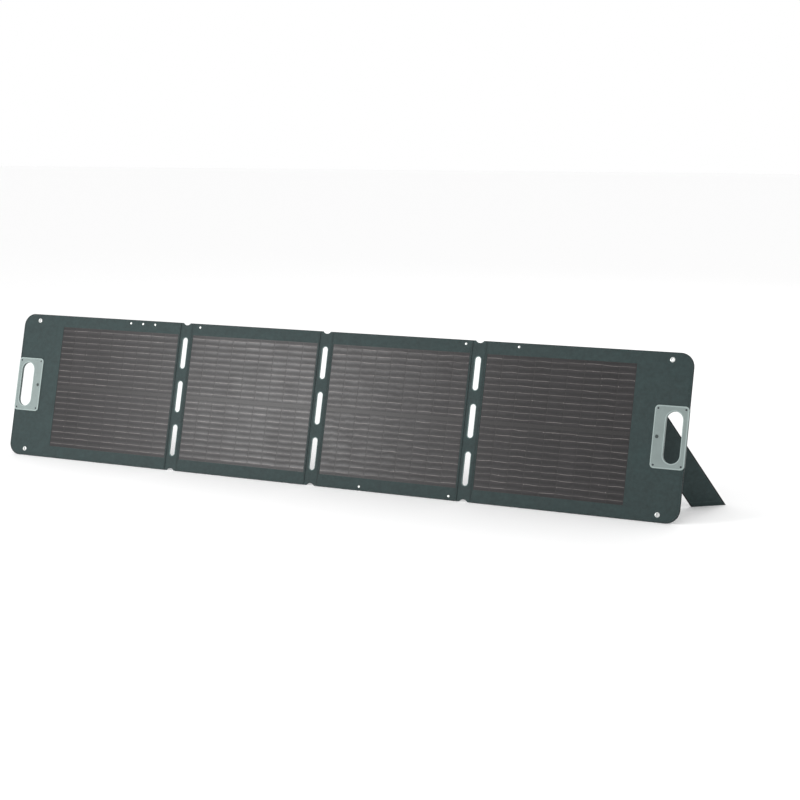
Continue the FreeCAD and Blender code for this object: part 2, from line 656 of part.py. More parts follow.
def make_shoe_rivets():
    """Flush rivets through the shoe and the leg."""
    half = HINGE_KNUCKLE_RADIUS
    rivets = [upright_bar(x, y, STAND_RIVET_RADIUS, -half, half) for x, y in shoe_rivet_spots()]
    return open_leg(group(rivets))


def make_leg_blank(inset):
    """The leg from its shoe to past the ground, drawn in by an inset."""
    start = SHOE_SETBACK + SHOE_WEB + inset
    blank = leg_strip(start, LEG_REACH, inset, STAND_LEG_THICKNESS / 2.0 - inset)
    holes = [upright_bar(x, y, STAND_RIVET_RADIUS + FASTENER_CLEARANCE, -SPILL, SPILL)
             for x, y in shoe_rivet_spots()]
    return open_leg(blank.cut(holes))


# ---- junction box -----------------------------------------------------------------------
BOX_X = FOLD_PITCH + BOX_FROM_FOLD
BOX_Z = BOX_HEIGHT_ON_PANEL
BOX_BACK = PANEL_THICKNESS + BOX_DEPTH
LID_BACK = BOX_BACK + LID_THICKNESS


def box_block(inset, y0, y1):
    """The plan of the junction box, drawn in by an inset."""
    half_length = BOX_LENGTH / 2.0 - inset
    half_width = BOX_WIDTH / 2.0 - inset
    radius = max(BOX_CORNER_RADIUS - inset, BOX_LEAST_RADIUS)
    return rounded_block(BOX_X - half_length, BOX_X + half_length, y0, y1,
                         BOX_Z - half_width, BOX_Z + half_width, radius)


def box_screw_places():
    """Centres of the four lid screws."""
    reach_x = BOX_LENGTH / 2.0 - BOX_SCREW_INSET
    reach_z = BOX_WIDTH / 2.0 - BOX_SCREW_INSET
    return [(BOX_X + i * reach_x, BOX_Z + k * reach_z) for i in (-1, 1) for k in (-1, 1)]


def socket_bar(radius, x0, x1):
    """A round bar along X at the socket's place."""
    depth = PANEL_THICKNESS + BOX_DEPTH / 2.0
    return Part.makeCylinder(radius, x1 - x0, Vector(x0, depth, BOX_Z), Vector(1, 0, 0))


def make_box_base():
    """Open tray with four screw posts and the hole for the socket."""
    tray = box_block(0.0, PANEL_THICKNESS, BOX_BACK)
    tray = tray.cut(box_block(BOX_WALL, PANEL_THICKNESS + BOX_WALL, BOX_BACK + SPILL))
    posts = [post(x, z, BOX_POST_RADIUS, PANEL_THICKNESS, BOX_BACK - GASKET_THICKNESS)
             for x, z in box_screw_places()]
    rounded = box_block(0.0, PANEL_THICKNESS, BOX_BACK)
    tray = tray.fuse([p.common(rounded) for p in posts])
    end = BOX_X + BOX_LENGTH / 2.0
    tools = [post(x, z, BOX_SCREW_RADIUS, PANEL_THICKNESS + BOX_WALL, BOX_BACK + SPILL)
             for x, z in box_screw_places()]
    socket_room = BOX_WALL + SOCKET_INSIDE_LENGTH + SOCKET_CLEARANCE
    tools.append(socket_bar(SOCKET_RADIUS + SOCKET_CLEARANCE, end - socket_room, end + SPILL))
    seat = box_block(0.0, BOX_BACK - GASKET_THICKNESS, BOX_BACK + SPILL)
    tools.append(seat.common(box_block(BOX_WALL / 2.0, BOX_BACK - GASKET_THICKNESS, BOX_BACK + SPILL)))
    return tray.cut(tools).removeSplitter()


def make_box_gasket():
    """Flat rubber ring between tray and lid, in the step of the tray's wall."""
    front = BOX_BACK - GASKET_THICKNESS
    outer = box_block(BOX_WALL / 2.0, front, BOX_BACK)
    return outer.cut(box_block(BOX_WALL / 2.0 + GASKET_WIDTH, front - SPILL, BOX_BACK + SPILL))


def make_box_lid():
    """Lid with rounded rim."""
    lid = box_block(0.0, BOX_BACK, LID_BACK)
    rim = [e for e in lid.Edges if e.BoundBox.YMin > LID_BACK - EDGE_TOLERANCE]
    lid = lid.makeFillet(LID_THICKNESS / 2.0, rim)
    return lid.cut([post(x, z, BOX_SCREW_RADIUS + FASTENER_CLEARANCE, BOX_BACK - SPILL, LID_BACK + SPILL)
                    for x, z in box_screw_places()])


def make_box_screws():
    """Lid screws with pan heads."""
    solids = []
    tip = PANEL_THICKNESS + BOX_WALL + BOX_SCREW_TIP_GAP
    for x, z in box_screw_places():
        shank = post(x, z, BOX_SCREW_RADIUS, tip, LID_BACK)
        head = post(x, z, BOX_SCREW_HEAD_RADIUS, LID_BACK, LID_BACK + BOX_SCREW_HEAD_THICKNESS)
        solids.append(shank.fuse(head).removeSplitter())
    return group(solids)


def make_diode_board():
    """Circuit board on the tray's floor with its blocking diodes."""
    front = PANEL_THICKNESS + BOX_WALL
    reach_x = BOX_LENGTH / 2.0 - BOX_WALL - 2.0 * CIRCUIT_CLEARANCE
    reach_z = BOX_WIDTH / 2.0 - BOX_WALL - CIRCUIT_CLEARANCE
    board = box(BOX_X - reach_x, BOX_X + reach_x - SOCKET_INSIDE_LENGTH, front, front + CIRCUIT_THICKNESS,
                BOX_Z - reach_z, BOX_Z + reach_z)
    top = front + CIRCUIT_THICKNESS
    middle = BOX_X - SOCKET_INSIDE_LENGTH / 2.0
    diodes = []
    for i in (-1, 1):
        left = middle + i * DIODE_SPACING / 2.0 - DIODE_WIDTH / 2.0
        diodes.append(box(left, left + DIODE_WIDTH, top, top + DIODE_HEIGHT,
                          BOX_Z - DIODE_LENGTH / 2.0, BOX_Z + DIODE_LENGTH / 2.0))
    return board.fuse(diodes).removeSplitter()


def make_output_socket():
    """Round low-voltage socket through the end wall of the tray."""
    end = BOX_X + BOX_LENGTH / 2.0
    inside = end - BOX_WALL - SOCKET_INSIDE_LENGTH
    flange = socket_bar(SOCKET_FLANGE_RADIUS, end, end + SOCKET_FLANGE_THICKNESS)
    body = socket_bar(SOCKET_RADIUS, inside, end).fuse(flange)
    bore = socket_bar(SOCKET_BORE_RADIUS, inside + BOX_WALL, end + SPILL)
    return body.cut(bore).removeSplitter()


# ---- assembly ---------------------------------------------------------------------------
def mirrored(shape):
    """The left-hand twin of a right-hand piece."""
    return shape.mirror(Vector(0, 0, 0), Vector(1, 0, 0))


def lean_back(shape):
    """Leans a piece with the panel and lifts the panel's lowest edge to the ground."""
    leaned = shape.copy()
    leaned.rotate(Vector(0, 0, 0), Vector(1, 0, 0), -LEAN_ANGLE)
    leaned.translate(Vector(0, 0, PANEL_THICKNESS * math.sin(LEAN)))
    return leaned


def trim_at_ground(shape, ground):
    """Cuts away what is below a level."""
    half = 2.0 * PANEL_END
    below = Part.makeBox(2.0 * half, 2.0 * half, LEG_REACH, Vector(-half, -half, ground - LEG_REACH))
    return shape.cut(below)


def make_parts():
    """Every node by name, leaned back and standing on the ground, before it is centred."""
    parts = {}
    for number in SEGMENT_SPANS:
        parts["face_sheet_%d" % number] = make_face_sheet(number)
        parts["solar_cells_%d" % number] = make_cells(number)
        parts["busbars_%d" % number] = make_busbars(number)
        parts["core_board_%d" % number] = make_core_board(number)
        parts["back_cover_%d" % number] = make_back_cover(number)
        parts["edge_rivets_%d" % number] = make_edge_rivets(number)
    for index in range(len(FOLD_LINES)):
        parts["fold_band_%d_left" % (index + 1)] = make_fold_half(index, -1)
        parts["fold_band_%d_right" % (index + 1)] = make_fold_half(index, 1)
    for side, number in (("left", 1), ("right", 4)):
        parts["eyelets_" + side] = make_eyelets(number)
        parts["handle_front_" + side] = make_handle_front(number)
        parts["handle_back_" + side] = make_handle_back(number)
        parts["handle_screws_" + side] = make_handle_screws(number)
        parts["handle_stud_" + side] = make_handle_stud(number)
    parts["junction_box"] = make_box_base()
    parts["junction_box_gasket"] = make_box_gasket()
    parts["junction_box_lid"] = make_box_lid()
    parts["junction_box_screws"] = make_box_screws()
    parts["diode_board"] = make_diode_board()
    parts["output_socket"] = make_output_socket()
    parts = {name: lean_back(shape) for name, shape in parts.items()}

    blank = trim_at_ground(lean_back(hinge_placement(make_leg_blank(0.0))), 0.0)
    board = lean_back(hinge_placement(make_leg_blank(STAND_COVER_THICKNESS)))
    board = trim_at_ground(board, STAND_COVER_THICKNESS)
    stand = {
        "stand_hinge_base": lean_back(hinge_placement(make_hinge_base())),
        "stand_hinge_pin": lean_back(hinge_placement(make_hinge_pin())),
        "stand_base_rivets": lean_back(hinge_placement(make_base_rivets())),
        "stand_shoe": lean_back(hinge_placement(make_hinge_shoe())),
        "stand_shoe_rivets": lean_back(hinge_placement(make_shoe_rivets())),
        "stand_cover": blank.cut(board),
        "stand_board": board,
    }
    for name, shape in stand.items():
        parts[name + "_right"] = shape
        parts[name + "_left"] = mirrored(shape)
    return parts


def centre_shift(parts):
    """Moves the origin to the middle of the footprint, front to back."""
    bounds = Part.makeCompound(list(parts.values())).BoundBox
    return Vector(0, -(bounds.YMin + bounds.YMax) / 2.0, 0)


def to_world(point, shift):
    """A point in the panel's own axes, after leaning and centring."""
    y = point.y * math.cos(LEAN) + point.z * math.sin(LEAN)
    z = -point.y * math.sin(LEAN) + point.z * math.cos(LEAN) + PANEL_THICKNESS * math.sin(LEAN)
    return Vector(point.x, y, z) + shift


def main():
    """Writes one file for each node."""
    os.makedirs("parts", exist_ok=True)
    parts = make_parts()
    shift = centre_shift(parts)
    for name, shape in parts.items():
        placed = shape.copy()
        placed.translate(shift)
        placed.exportStep("parts/%s.step" % name)
    print("%d nodes, origin moved by %.3f mm" % (len(parts), shift.y))


if __name__ == "__main__":
    main()
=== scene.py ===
"""Folding solar panel: the visible pieces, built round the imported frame.

Lengths are in metres.  Flat pieces are drawn in the panel's own axes, which are X along the row of
segments, Y the depth from the front face to the back and Z up the slope, and are then set in
place.  The two stands are drawn in the axes of their own leg.
"""
import json
import math
import random

import bmesh
import bpy
from mathutils import Matrix, Vector, geometry, noise


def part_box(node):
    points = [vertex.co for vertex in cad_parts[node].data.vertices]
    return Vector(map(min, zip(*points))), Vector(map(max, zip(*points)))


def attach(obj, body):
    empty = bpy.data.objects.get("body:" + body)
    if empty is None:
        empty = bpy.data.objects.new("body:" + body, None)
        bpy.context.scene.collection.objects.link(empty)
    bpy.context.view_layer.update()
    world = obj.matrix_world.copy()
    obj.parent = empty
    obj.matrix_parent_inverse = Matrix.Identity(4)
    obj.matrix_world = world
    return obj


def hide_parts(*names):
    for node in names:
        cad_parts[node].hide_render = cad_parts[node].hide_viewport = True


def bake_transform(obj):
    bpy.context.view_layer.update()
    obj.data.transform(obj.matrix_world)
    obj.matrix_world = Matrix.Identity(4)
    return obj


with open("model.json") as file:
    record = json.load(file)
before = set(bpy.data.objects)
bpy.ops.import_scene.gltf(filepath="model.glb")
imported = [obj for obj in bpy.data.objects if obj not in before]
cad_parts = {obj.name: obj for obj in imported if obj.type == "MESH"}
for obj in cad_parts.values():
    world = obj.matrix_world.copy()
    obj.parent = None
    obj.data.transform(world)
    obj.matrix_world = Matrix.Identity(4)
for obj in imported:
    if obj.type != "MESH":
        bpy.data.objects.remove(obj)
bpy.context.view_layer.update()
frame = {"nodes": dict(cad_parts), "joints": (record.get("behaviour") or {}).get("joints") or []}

bl_info = {
    "name": "Folding Solar Panel",
    "version": (1, 0, 0),
    "blender": (4, 5, 0),
    "location": "View3D > Sidebar > Solar Panel",
    "description": "Builds the cloth, cells, handles and fittings of a four-fold solar panel",
    "category": "Add Mesh",
}

MM = 0.001

# ---- sizes of the frame
LEAN = math.radians(14.0)
PANEL_THICKNESS = 4.0 * MM
FACE_THICKNESS = 0.8 * MM
COVER_THICKNESS = 0.8 * MM
BAND_FRONT = 0.9 * MM
BAND_BACK = 3.1 * MM
CORNER_RADIUS = 38.0 * MM
FOLD_PITCH = (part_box("fold_band_3_left")[1][0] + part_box("fold_band_3_right")[0][0]) / 2.0
BAND_HALF_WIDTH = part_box("fold_band_3_right")[1][0] - FOLD_PITCH
PANEL_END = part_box("back_cover_4")[1][0]
ORIGIN = Vector((0.0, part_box("back_cover_2")[0][1], PANEL_THICKNESS * math.sin(LEAN)))
PANEL_HEIGHT = (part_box("back_cover_2")[1][2] - ORIGIN.z) / math.cos(LEAN)
MID_HEIGHT = PANEL_HEIGHT / 2.0
ACROSS = Vector((1.0, 0.0, 0.0))
INTO = Vector((0.0, math.cos(LEAN), -math.sin(LEAN)))
UP_SLOPE = Vector((0.0, math.sin(LEAN), math.cos(LEAN)))
SEGMENT_SPANS = {
    1: (-PANEL_END, -FOLD_PITCH),
    2: (-FOLD_PITCH, 0.0),
    3: (0.0, FOLD_PITCH),
    4: (FOLD_PITCH, PANEL_END),
}
SIDES = {"left": (-1.0, 1), "right": (1.0, 4)}

# ---- cells
CELL_WIDTH = 45.5 * MM
CELL_HEIGHT = 182.0 * MM
COLUMN_GAP = 2.8 * MM
ROW_GAP = 11.0 * MM
COLUMN_PITCH = CELL_WIDTH + COLUMN_GAP
ROW_PITCH = CELL_HEIGHT + ROW_GAP
COLUMNS = 9
ROWS = 2
RIBBONS_PER_CELL = 10
RIBBON_PITCH = CELL_HEIGHT / RIBBONS_PER_CELL
RIBBON_WIDTH = 1.1 * MM
RIBBON_THICKNESS = 0.16 * MM
RIBBON_END_DIP = 0.12 * MM
RIPPLE_WAVES = 26.0           # for each metre of ribbon
RIBBON_STRAY = {1: 0.7, 2: 0.7, 3: 2.0, 4: 2.0}     # times the ripple, by segment
FILM_SWAY = {1: 4.0, 2: 4.0, 3: 9.0, 4: 9.0}        # times the ripple, by segment
SOLDER_SHARE = 0.16           # of the cells that a ribbon crosses
FINGER_PITCH = 1.52 * MM
WINDOW_CLEARANCE = 1.5 * MM
WINDOW_CORNER = 2.0 * MM
FIELD_WIDTH = COLUMNS * COLUMN_PITCH - COLUMN_GAP
FIELD_HEIGHT = ROWS * ROW_PITCH - ROW_GAP
FIELD_BOTTOM = MID_HEIGHT - FIELD_HEIGHT / 2.0
WAFER_FRONT = 0.45 * MM

# ---- pressed lines along the cloth's edges
WELD_SIDE_INSET = 3.0 * MM    # from a fold
WELD_DEPTH = 0.3 * MM
STITCH_DEPTH = 0.32 * MM

# ---- slots and notches of the folds
SLOT_WIDTH = 17.0 * MM
SLOT_HEIGHT = 94.0 * MM
SLOT_CENTRES = [92.0 * MM, 225.0 * MM, 358.0 * MM]
SLOT_RIM_WIDTH = 2.2 * MM
NOTCH_WIDTH = 25.0 * MM
NOTCH_DEPTH = 6.5 * MM
BEND_HALF_WIDTH = 5.5 * MM
BAND_LINE = (2.4 * MM, 3.6 * MM)      # near and far side, from the band's edge
BAND_LINE_FROM_END = 9.0 * MM
BAND_LINE_RISE = 0.22 * MM
SLOT_RIM_RISE = 0.5 * MM

# ---- handles
HANDLE_WIDTH = 94.0 * MM
HANDLE_HEIGHT = 168.0 * MM
HANDLE_DEPTH = 2.6 * MM
HANDLE_CORNER = 11.0 * MM
HOLE_WIDTH = 46.0 * MM
HOLE_HEIGHT = 138.0 * MM
HOLE_FROM_END = 15.0 * MM
COLLAR_WALL = 2.0 * MM
COLLAR_GAP = 0.2 * MM
SCREW_INSET = 9.0 * MM
SCREW_SEAT = 3.0 * MM
SCREW_HOLE = 1.6 * MM
PLATE_RIM = 3.6 * MM
HOLE_RIM = 3.2 * MM
STUD_FROM_INNER_EDGE = 12.0 * MM

# ---- fasteners
EYELET_FROM_END = 60.0 * MM
EYELET_FROM_EDGE = 20.0 * MM
EYELET_HOLE = 4.4 * MM
RIVET_FROM_EDGE = 11.0 * MM
RIVET_HOLE = 1.9 * MM
TOP_EDGE = PANEL_HEIGHT - RIVET_FROM_EDGE
BOTTOM_EDGE = RIVET_FROM_EDGE
RIVET_PLACES = {
    1: [(-FOLD_PITCH - 206.0 * MM, TOP_EDGE), (-FOLD_PITCH - 161.0 * MM, TOP_EDGE),
        (-FOLD_PITCH - 116.0 * MM, TOP_EDGE)],
    2: [(-FOLD_PITCH + 49.0 * MM, TOP_EDGE)],
    3: [(FOLD_PITCH - 41.0 * MM, TOP_EDGE), (160.0 * MM, BOTTOM_EDGE),
        (FOLD_PITCH - 45.0 * MM, BOTTOM_EDGE)],
    4: [(FOLD_PITCH + 119.0 * MM, TOP_EDGE)],
}

# ---- stands
LEG_WIDTH = 83.0 * MM
LEG_THICKNESS = 4.0 * MM
HINGE_SLANT = math.radians(64.5)
LEG_OPEN_ANGLE = math.radians(47.3)
LEG_START = 8.0 * MM          # from the hinge line, measured square to it
LEG_HEM = 11.0 * MM           # seam above the foot
LEG_BINDING = 3.2 * MM

# ---- junction box
BOX_X = FOLD_PITCH + 150.0 * MM
BOX_Z = 120.0 * MM
BOX_LENGTH = 112.0 * MM
BOX_WIDTH = 66.0 * MM
BOX_BACK = PANEL_THICKNESS + 13.0 * MM
LID_BACK = BOX_BACK + 2.0 * MM
BOX_SCREW_INSET = 6.0 * MM
BOX_SCREW_HOLE = 1.4 * MM
GRIP_RIBS = 7
GRIP_PITCH = 9.0 * MM

ROUND_STEPS = 40              # points round a full circle
FINE_ROUND_STEPS = 48         # and round eyelets and screw heads
RIM_STEPS = 3                 # faces across a rounded rim


def axes_matrix(across, depth, height, origin):
    """Matrix from axes of a piece's own to the frame."""
    rows = [(across[i], depth[i], height[i], origin[i]) for i in range(3)]
    return Matrix(rows + [(0.0, 0.0, 0.0, 1.0)])


PANEL_PLACEMENT = axes_matrix(ACROSS, INTO, UP_SLOPE, ORIGIN)


def in_frame(x, depth, height):
    """A point of the panel's own axes, in the frame."""
    return PANEL_PLACEMENT @ Vector((x, depth, height))


def leg_placement(side):
    """Matrix from a leg's own axes (across it, its thickness, down it) to the frame, at rest."""
    sign = SIDES[side][0]
    joint = next(j for j in frame["joints"] if j["name"] == "stand_swing_" + side)
    centre = Vector(joint["pos_m"])
    along = math.cos(HINGE_SLANT) * ACROSS * sign + math.sin(HINGE_SLANT) * UP_SLOPE
    outward = math.sin(HINGE_SLANT) * ACROSS * sign - math.cos(HINGE_SLANT) * UP_SLOPE
    away = math.cos(LEG_OPEN_ANGLE) * outward + math.sin(LEG_OPEN_ANGLE) * INTO
    down = -math.cos(HINGE_SLANT) * along + math.sin(HINGE_SLANT) * away
    width = math.sin(HINGE_SLANT) * along + math.cos(HINGE_SLANT) * away
    return axes_matrix(width, down.cross(width), down, centre)


# ---- outlines
def arc(x, z, radius, start, end):
    """Points of an arc between two angles in degrees."""
    steps = max(2, round(abs(end - start) / 360.0 * ROUND_STEPS))
    angles = [math.radians(start + (end - start) * i / steps) for i in range(steps + 1)]
    return [(x + radius * math.cos(a), z + radius * math.sin(a)) for a in angles]


def circle(x, z, radius):
    """A closed round outline."""
    return arc(x, z, radius, 0.0, 360.0)[:-1]


def stadium(x, z, width, height):
    """An upright outline with round ends."""
    radius = width / 2.0
    reach = height / 2.0 - radius
    return arc(x, z + reach, radius, 0.0, 180.0) + arc(x, z - reach, radius, 180.0, 360.0)


def rounded_rectangle(x0, x1, z0, z1, left_radius, right_radius):
    """A rectangle with its own corner radius at each side; a radius of nought is a sharp corner."""
    points = []
    corners = [(x1, z0, right_radius, -90.0), (x1, z1, right_radius, 0.0),
               (x0, z1, left_radius, 90.0), (x0, z0, left_radius, 180.0)]
    for x, z, radius, start in corners:
        if radius <= 0.0:
            points.append((x, z))
            continue
        cx = x - radius if x == x1 else x + radius
        cz = z - radius if z == z1 else z + radius
        points += arc(cx, cz, radius, start, start + 90.0)
    return points


def stiff_span(number):
    """Left and right limits of the stiff part of a segment."""
    left, right = SEGMENT_SPANS[number]
    if number > 1:
        left += BAND_HALF_WIDTH
    if number < 4:
        right -= BAND_HALF_WIDTH
    return left, right


def segment_outline(number, inset, side_inset=0.0):
    """Outline of a segment, drawn in from its free edges and, by its own inset, from its folds."""
    left, right = stiff_span(number)
    left += inset if number == 1 else side_inset
    right -= inset if number == 4 else side_inset
    left_radius = max(CORNER_RADIUS - inset, 0.0) if number == 1 else 0.0
    right_radius = max(CORNER_RADIUS - inset, 0.0) if number == 4 else 0.0
    return rounded_rectangle(left, right, inset, PANEL_HEIGHT - inset, left_radius, right_radius)


def field_left(number):
    """Left edge of a segment's field of cells."""
    left, right = stiff_span(number)
    if number == 1:
        left = right - (FOLD_PITCH - 2.0 * BAND_HALF_WIDTH)
    if number == 4:
        right = left + (FOLD_PITCH - 2.0 * BAND_HALF_WIDTH)
    return (left + right - FIELD_WIDTH) / 2.0


def window_outline(number, grow):
    """Outline of the window round the cells."""
    left = field_left(number) - grow
    right = field_left(number) + FIELD_WIDTH + grow
    low, high = FIELD_BOTTOM - grow, FIELD_BOTTOM + FIELD_HEIGHT + grow
    return rounded_rectangle(left, right, low, high, WINDOW_CORNER, WINDOW_CORNER)


def eyelet_places(number):
    """Centres of the corner eyelets of an end segment."""
    if number not in (1, 4):
        return []
    x = (PANEL_END - EYELET_FROM_END) * (-1.0 if number == 1 else 1.0)
    return [(x, EYELET_FROM_EDGE), (x, PANEL_HEIGHT - EYELET_FROM_EDGE)]


def handle_limits(side):
    """Left and right edge of a handle, and the middle of its hand hole."""
    sign = SIDES[side][0]
    edges = sorted((sign * PANEL_END, sign * (PANEL_END - HANDLE_WIDTH)))
    return edges[0], edges[1], sign * (PANEL_END - HOLE_FROM_END - HOLE_WIDTH / 2.0)


def handle_screw_places(side):
    """Centres of a handle's four screws."""
    left, right, _ = handle_limits(side)
    reach = HANDLE_HEIGHT / 2.0 - SCREW_INSET
    return [(x, MID_HEIGHT + z) for x in (left + SCREW_INSET, right - SCREW_INSET) for z in (-reach, reach)]


def stud_place(side):
    """Centre of a handle's closing stud."""
    sign = SIDES[side][0]
    return sign * (PANEL_END - HANDLE_WIDTH + STUD_FROM_INNER_EDGE), MID_HEIGHT


def holes_through(number):
    """Outlines of what passes through every layer of a segment."""
    loops = [circle(x, z, EYELET_HOLE) for x, z in eyelet_places(number)]
    loops += [circle(x, z, RIVET_HOLE) for x, z in RIVET_PLACES[number]]
    for side, (_, owner) in SIDES.items():
        if owner == number:
            grow = 2.0 * (COLLAR_WALL + COLLAR_GAP)
            hole_x = handle_limits(side)[2]
            loops.append(stadium(hole_x, MID_HEIGHT, HOLE_WIDTH + grow, HOLE_HEIGHT + grow))
            loops += [circle(x, z, SCREW_HOLE) for x, z in handle_screw_places(side)]
    return loops


# ---- mesh making
def in_mm(pairs, start=0.0):
    """A profile that is written in millimetres, its depths counted from a start."""
    return [(radius * MM, start + depth * MM) for radius, depth in pairs]


def moved_in(points, distance):
    """A closed outline drawn in by a distance, or let out by a negative one."""
    following = points[1:] + points[:1]
    area = sum(ax * bz - bx * az for (ax, az), (bx, bz) in zip(points, following))
    inward = math.copysign(1.0, area)
    squares = []
    for (ax, az), (bx, bz) in zip(points, following):
        squares.append(Vector((az - bz, bx - ax)).normalized() * inward)
    moved = []
    for i, (x, z) in enumerate(points):
        middle = (squares[i - 1] + squares[i]).normalized()
        step = middle * distance / middle.dot(squares[i])
        moved.append((x + step.x, z + step.y))
    return moved


class Blank:
    """A mesh under construction, in the axes that it is drawn in."""

    def __init__(self):
        self.bm = bmesh.new()
        self.uv = self.bm.loops.layers.uv.new("cut")
        self.tint = self.bm.verts.layers.float.new("tint")

    def close(self, faces, tint, origin=(0.0, 0.0), material=0):
        """Turns new faces outward, lays the cloth map over them and sets their shade and material."""
        bmesh.ops.recalc_face_normals(self.bm, faces=faces)
        for face in faces:
            face.material_index = material
            for loop in face.loops:
                point = loop.vert.co
                loop.vert[self.tint] = tint
                loop[self.uv].uv = (point.x - origin[0] + point.y, point.z - origin[1] + point.y)

    def plate(self, loops, front, back, rounding, tint=0.5, origin=(0.0, 0.0)):
        """A flat plate with rounded rims: its outline first, then its holes."""
        angles = [math.pi / 2.0 * i / RIM_STEPS for i in range(RIM_STEPS + 1)]
        rim = [(rounding * (1.0 - math.sin(a)), rounding * (1.0 - math.cos(a))) for a in angles]
        layers = [(inset, front + depth) for inset, depth in rim]
        layers += [(inset, back - depth) for inset, depth in reversed(rim)]
        faces = []
        points = []
        edges = []
        ends = []
        for order, loop in enumerate(loops):
            shells = [moved_in(loop, inset if order == 0 else -inset) for inset, _ in layers]
            rings = [[self.bm.verts.new((x, depth, z)) for x, z in shell]
                     for shell, (_, depth) in zip(shells, layers)]
            faces += self.bridge(rings)
            count = len(loop)
            edges += [(len(points) + i, len(points) + (i + 1) % count) for i in range(count)]
            points += [Vector(point) for point in shells[0]]
            ends += list(zip(rings[0], rings[-1]))
        outer = [list(range(len(loops[0])))]
        _, _, triangles, sources, _, _ = geometry.delaunay_2d_cdt(points, edges, outer, 2, 1e-7)
        for triangle in triangles:
            corners = [ends[sources[i][0]] for i in triangle]
            faces += [self.bm.faces.new([pair[face] for pair in corners]) for face in (0, 1)]
        self.close(faces, tint, origin)

    def bridge(self, rings):
        """Faces between rings of corners; a ring of one corner is a point."""
        faces = []
        for near, far in zip(rings, rings[1:]):
            count = max(len(near), len(far))
            for i in range(count):
                k = (i + 1) % count
                corners = [near[i % len(near)], near[k % len(near)], far[k % len(far)], far[i % len(far)]]
                faces.append(self.bm.faces.new(list(dict.fromkeys(corners))))
        return faces

    def turned(self, x, z, profile, closed=False, steps=ROUND_STEPS, tint=0.5, recess=None):
        """A round piece: (radius, depth) pairs turned about an axis through the depth."""
        rings = []
        for radius, depth in profile:
            ring = []
            for i in range(steps if radius > 0.0 else 1):
                angle = 2.0 * math.pi * i / steps
                side, up = radius * math.cos(angle), radius * math.sin(angle)
                sunk = recess(side, up, depth) if recess else 0.0
                ring.append(self.bm.verts.new((x + side, depth + sunk, z + up)))
            rings.append(ring)
        self.close(self.bridge(rings + rings[:1] if closed else rings), tint, (x, z))

    def sweep(self, rings, tints=None, material=0):
        """A closed skin over rings of points, with both ends capped."""
        made = [[self.bm.verts.new(point) for point in ring] for ring in rings]
        ends = [self.bm.faces.new(made[0]), self.bm.faces.new(made[-1])]
        self.close(ends + self.bridge(made), 0.5, material=material)
        if tints:
            for ring, tint in zip(made, tints):
                for vert in ring:
                    vert[self.tint] = tint

    def stitches(self, start, end, depth, outward, length=3.4 * MM, gap=1.2 * MM, radius=0.3 * MM,
                 material=0):
        """A row of lockstitches on a face, between two (x, z) points."""
        run = Vector((end[0] - start[0], end[1] - start[1]))
        count = max(1, int(run.length / (length + gap)))
        step = run / count
        length = min(length, step.length * 0.7)
        ahead = step.normalized()
        square = Vector((-ahead.y, ahead.x))
        for i in range(count):
            low = Vector(start) + step * (i + 0.5) - ahead * length / 2.0
            rings = []
            for share, swell in ((0.0, 0.35), (0.2, 0.9), (0.5, 1.0), (0.8, 0.9), (1.0, 0.35)):
                middle = low + ahead * length * share
                rings.append([])
                for k in range(6):
                    angle = math.pi * k / 3.0
                    point = middle + square * (math.cos(angle) * radius * swell)
                    rise = math.sin(angle) * radius * swell
                    rings[-1].append((point.x, depth + outward * rise, point.y))
            self.sweep(rings, material=material)

    def split_columns(self, places):
        """Cuts every face along upright planes."""
        for place in places:
            everything = self.bm.verts[:] + self.bm.edges[:] + self.bm.faces[:]
            bmesh.ops.bisect_plane(self.bm, geom=everything, plane_co=ACROSS * place, plane_no=ACROSS,
                                   dist=1e-6)

    def finish(self, name, placement=PANEL_PLACEMENT, crease=35.0):
        """The finished mesh, set in place, smooth but for its sharp edges."""
        mesh = bpy.data.meshes.new(name)
        for face in self.bm.faces:
            face.smooth = True
        self.bm.to_mesh(mesh)
        self.bm.free()
        mesh.transform(placement)
        mesh.set_sharp_from_angle(angle=math.radians(crease))
        return mesh

    def piece(self, name, material, slot, body=None, crease=35.0):
        """The finished mesh as a piece of the panel, in one material."""
        return add_piece(name, self.finish(name, crease=crease), [material], body)


def flatten(piece, weight):
    """Keeps flat faces flat beside rounded ones."""
    keep = piece.modifiers.new("flat faces stay flat", "WEIGHTED_NORMAL")
    keep.keep_sharp = True
    keep.weight = weight


def add_piece(name, mesh, materials, body=None):
    """Puts a mesh in the scene as a piece of the object, on its body."""
    for material in materials:
        mesh.materials.append(material)
    piece = bpy.data.objects.new(name, mesh)
    bpy.context.scene.collection.objects.link(piece)
    flatten(piece, 90)
    if body:
        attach(piece, body)
    return piece


def soften(node, width):
    """Eases the sharp edges of a moulded or turned piece of the frame."""
    piece = frame["nodes"][node]
    ease = piece.modifiers.new("eased edges", "BEVEL")
    ease.width = width
    ease.segments = 2
    ease.limit_method = "ANGLE"
    ease.angle_limit = math.radians(40.0)
    ease.use_clamp_overlap = True
    flatten(piece, 50)


def refinish(node, material):
    """Gives a piece of the frame its finish."""
    mesh = frame["nodes"][node].data
    if not mesh.materials:
        mesh.materials.append(material)
    for i in range(len(mesh.materials)):
        mesh.materials[i] = material


# ---- shader expressions
def display(red, green, blue):
    """A colour as it looks on a screen, 0 to 255, as the shader takes it."""
    def linear(value):
        share = value / 255.0
        return share / 12.92 if share <= 0.04045 else ((share + 0.055) / 1.055) ** 2.4
    return (linear(red), linear(green), linear(blue), 1.0)


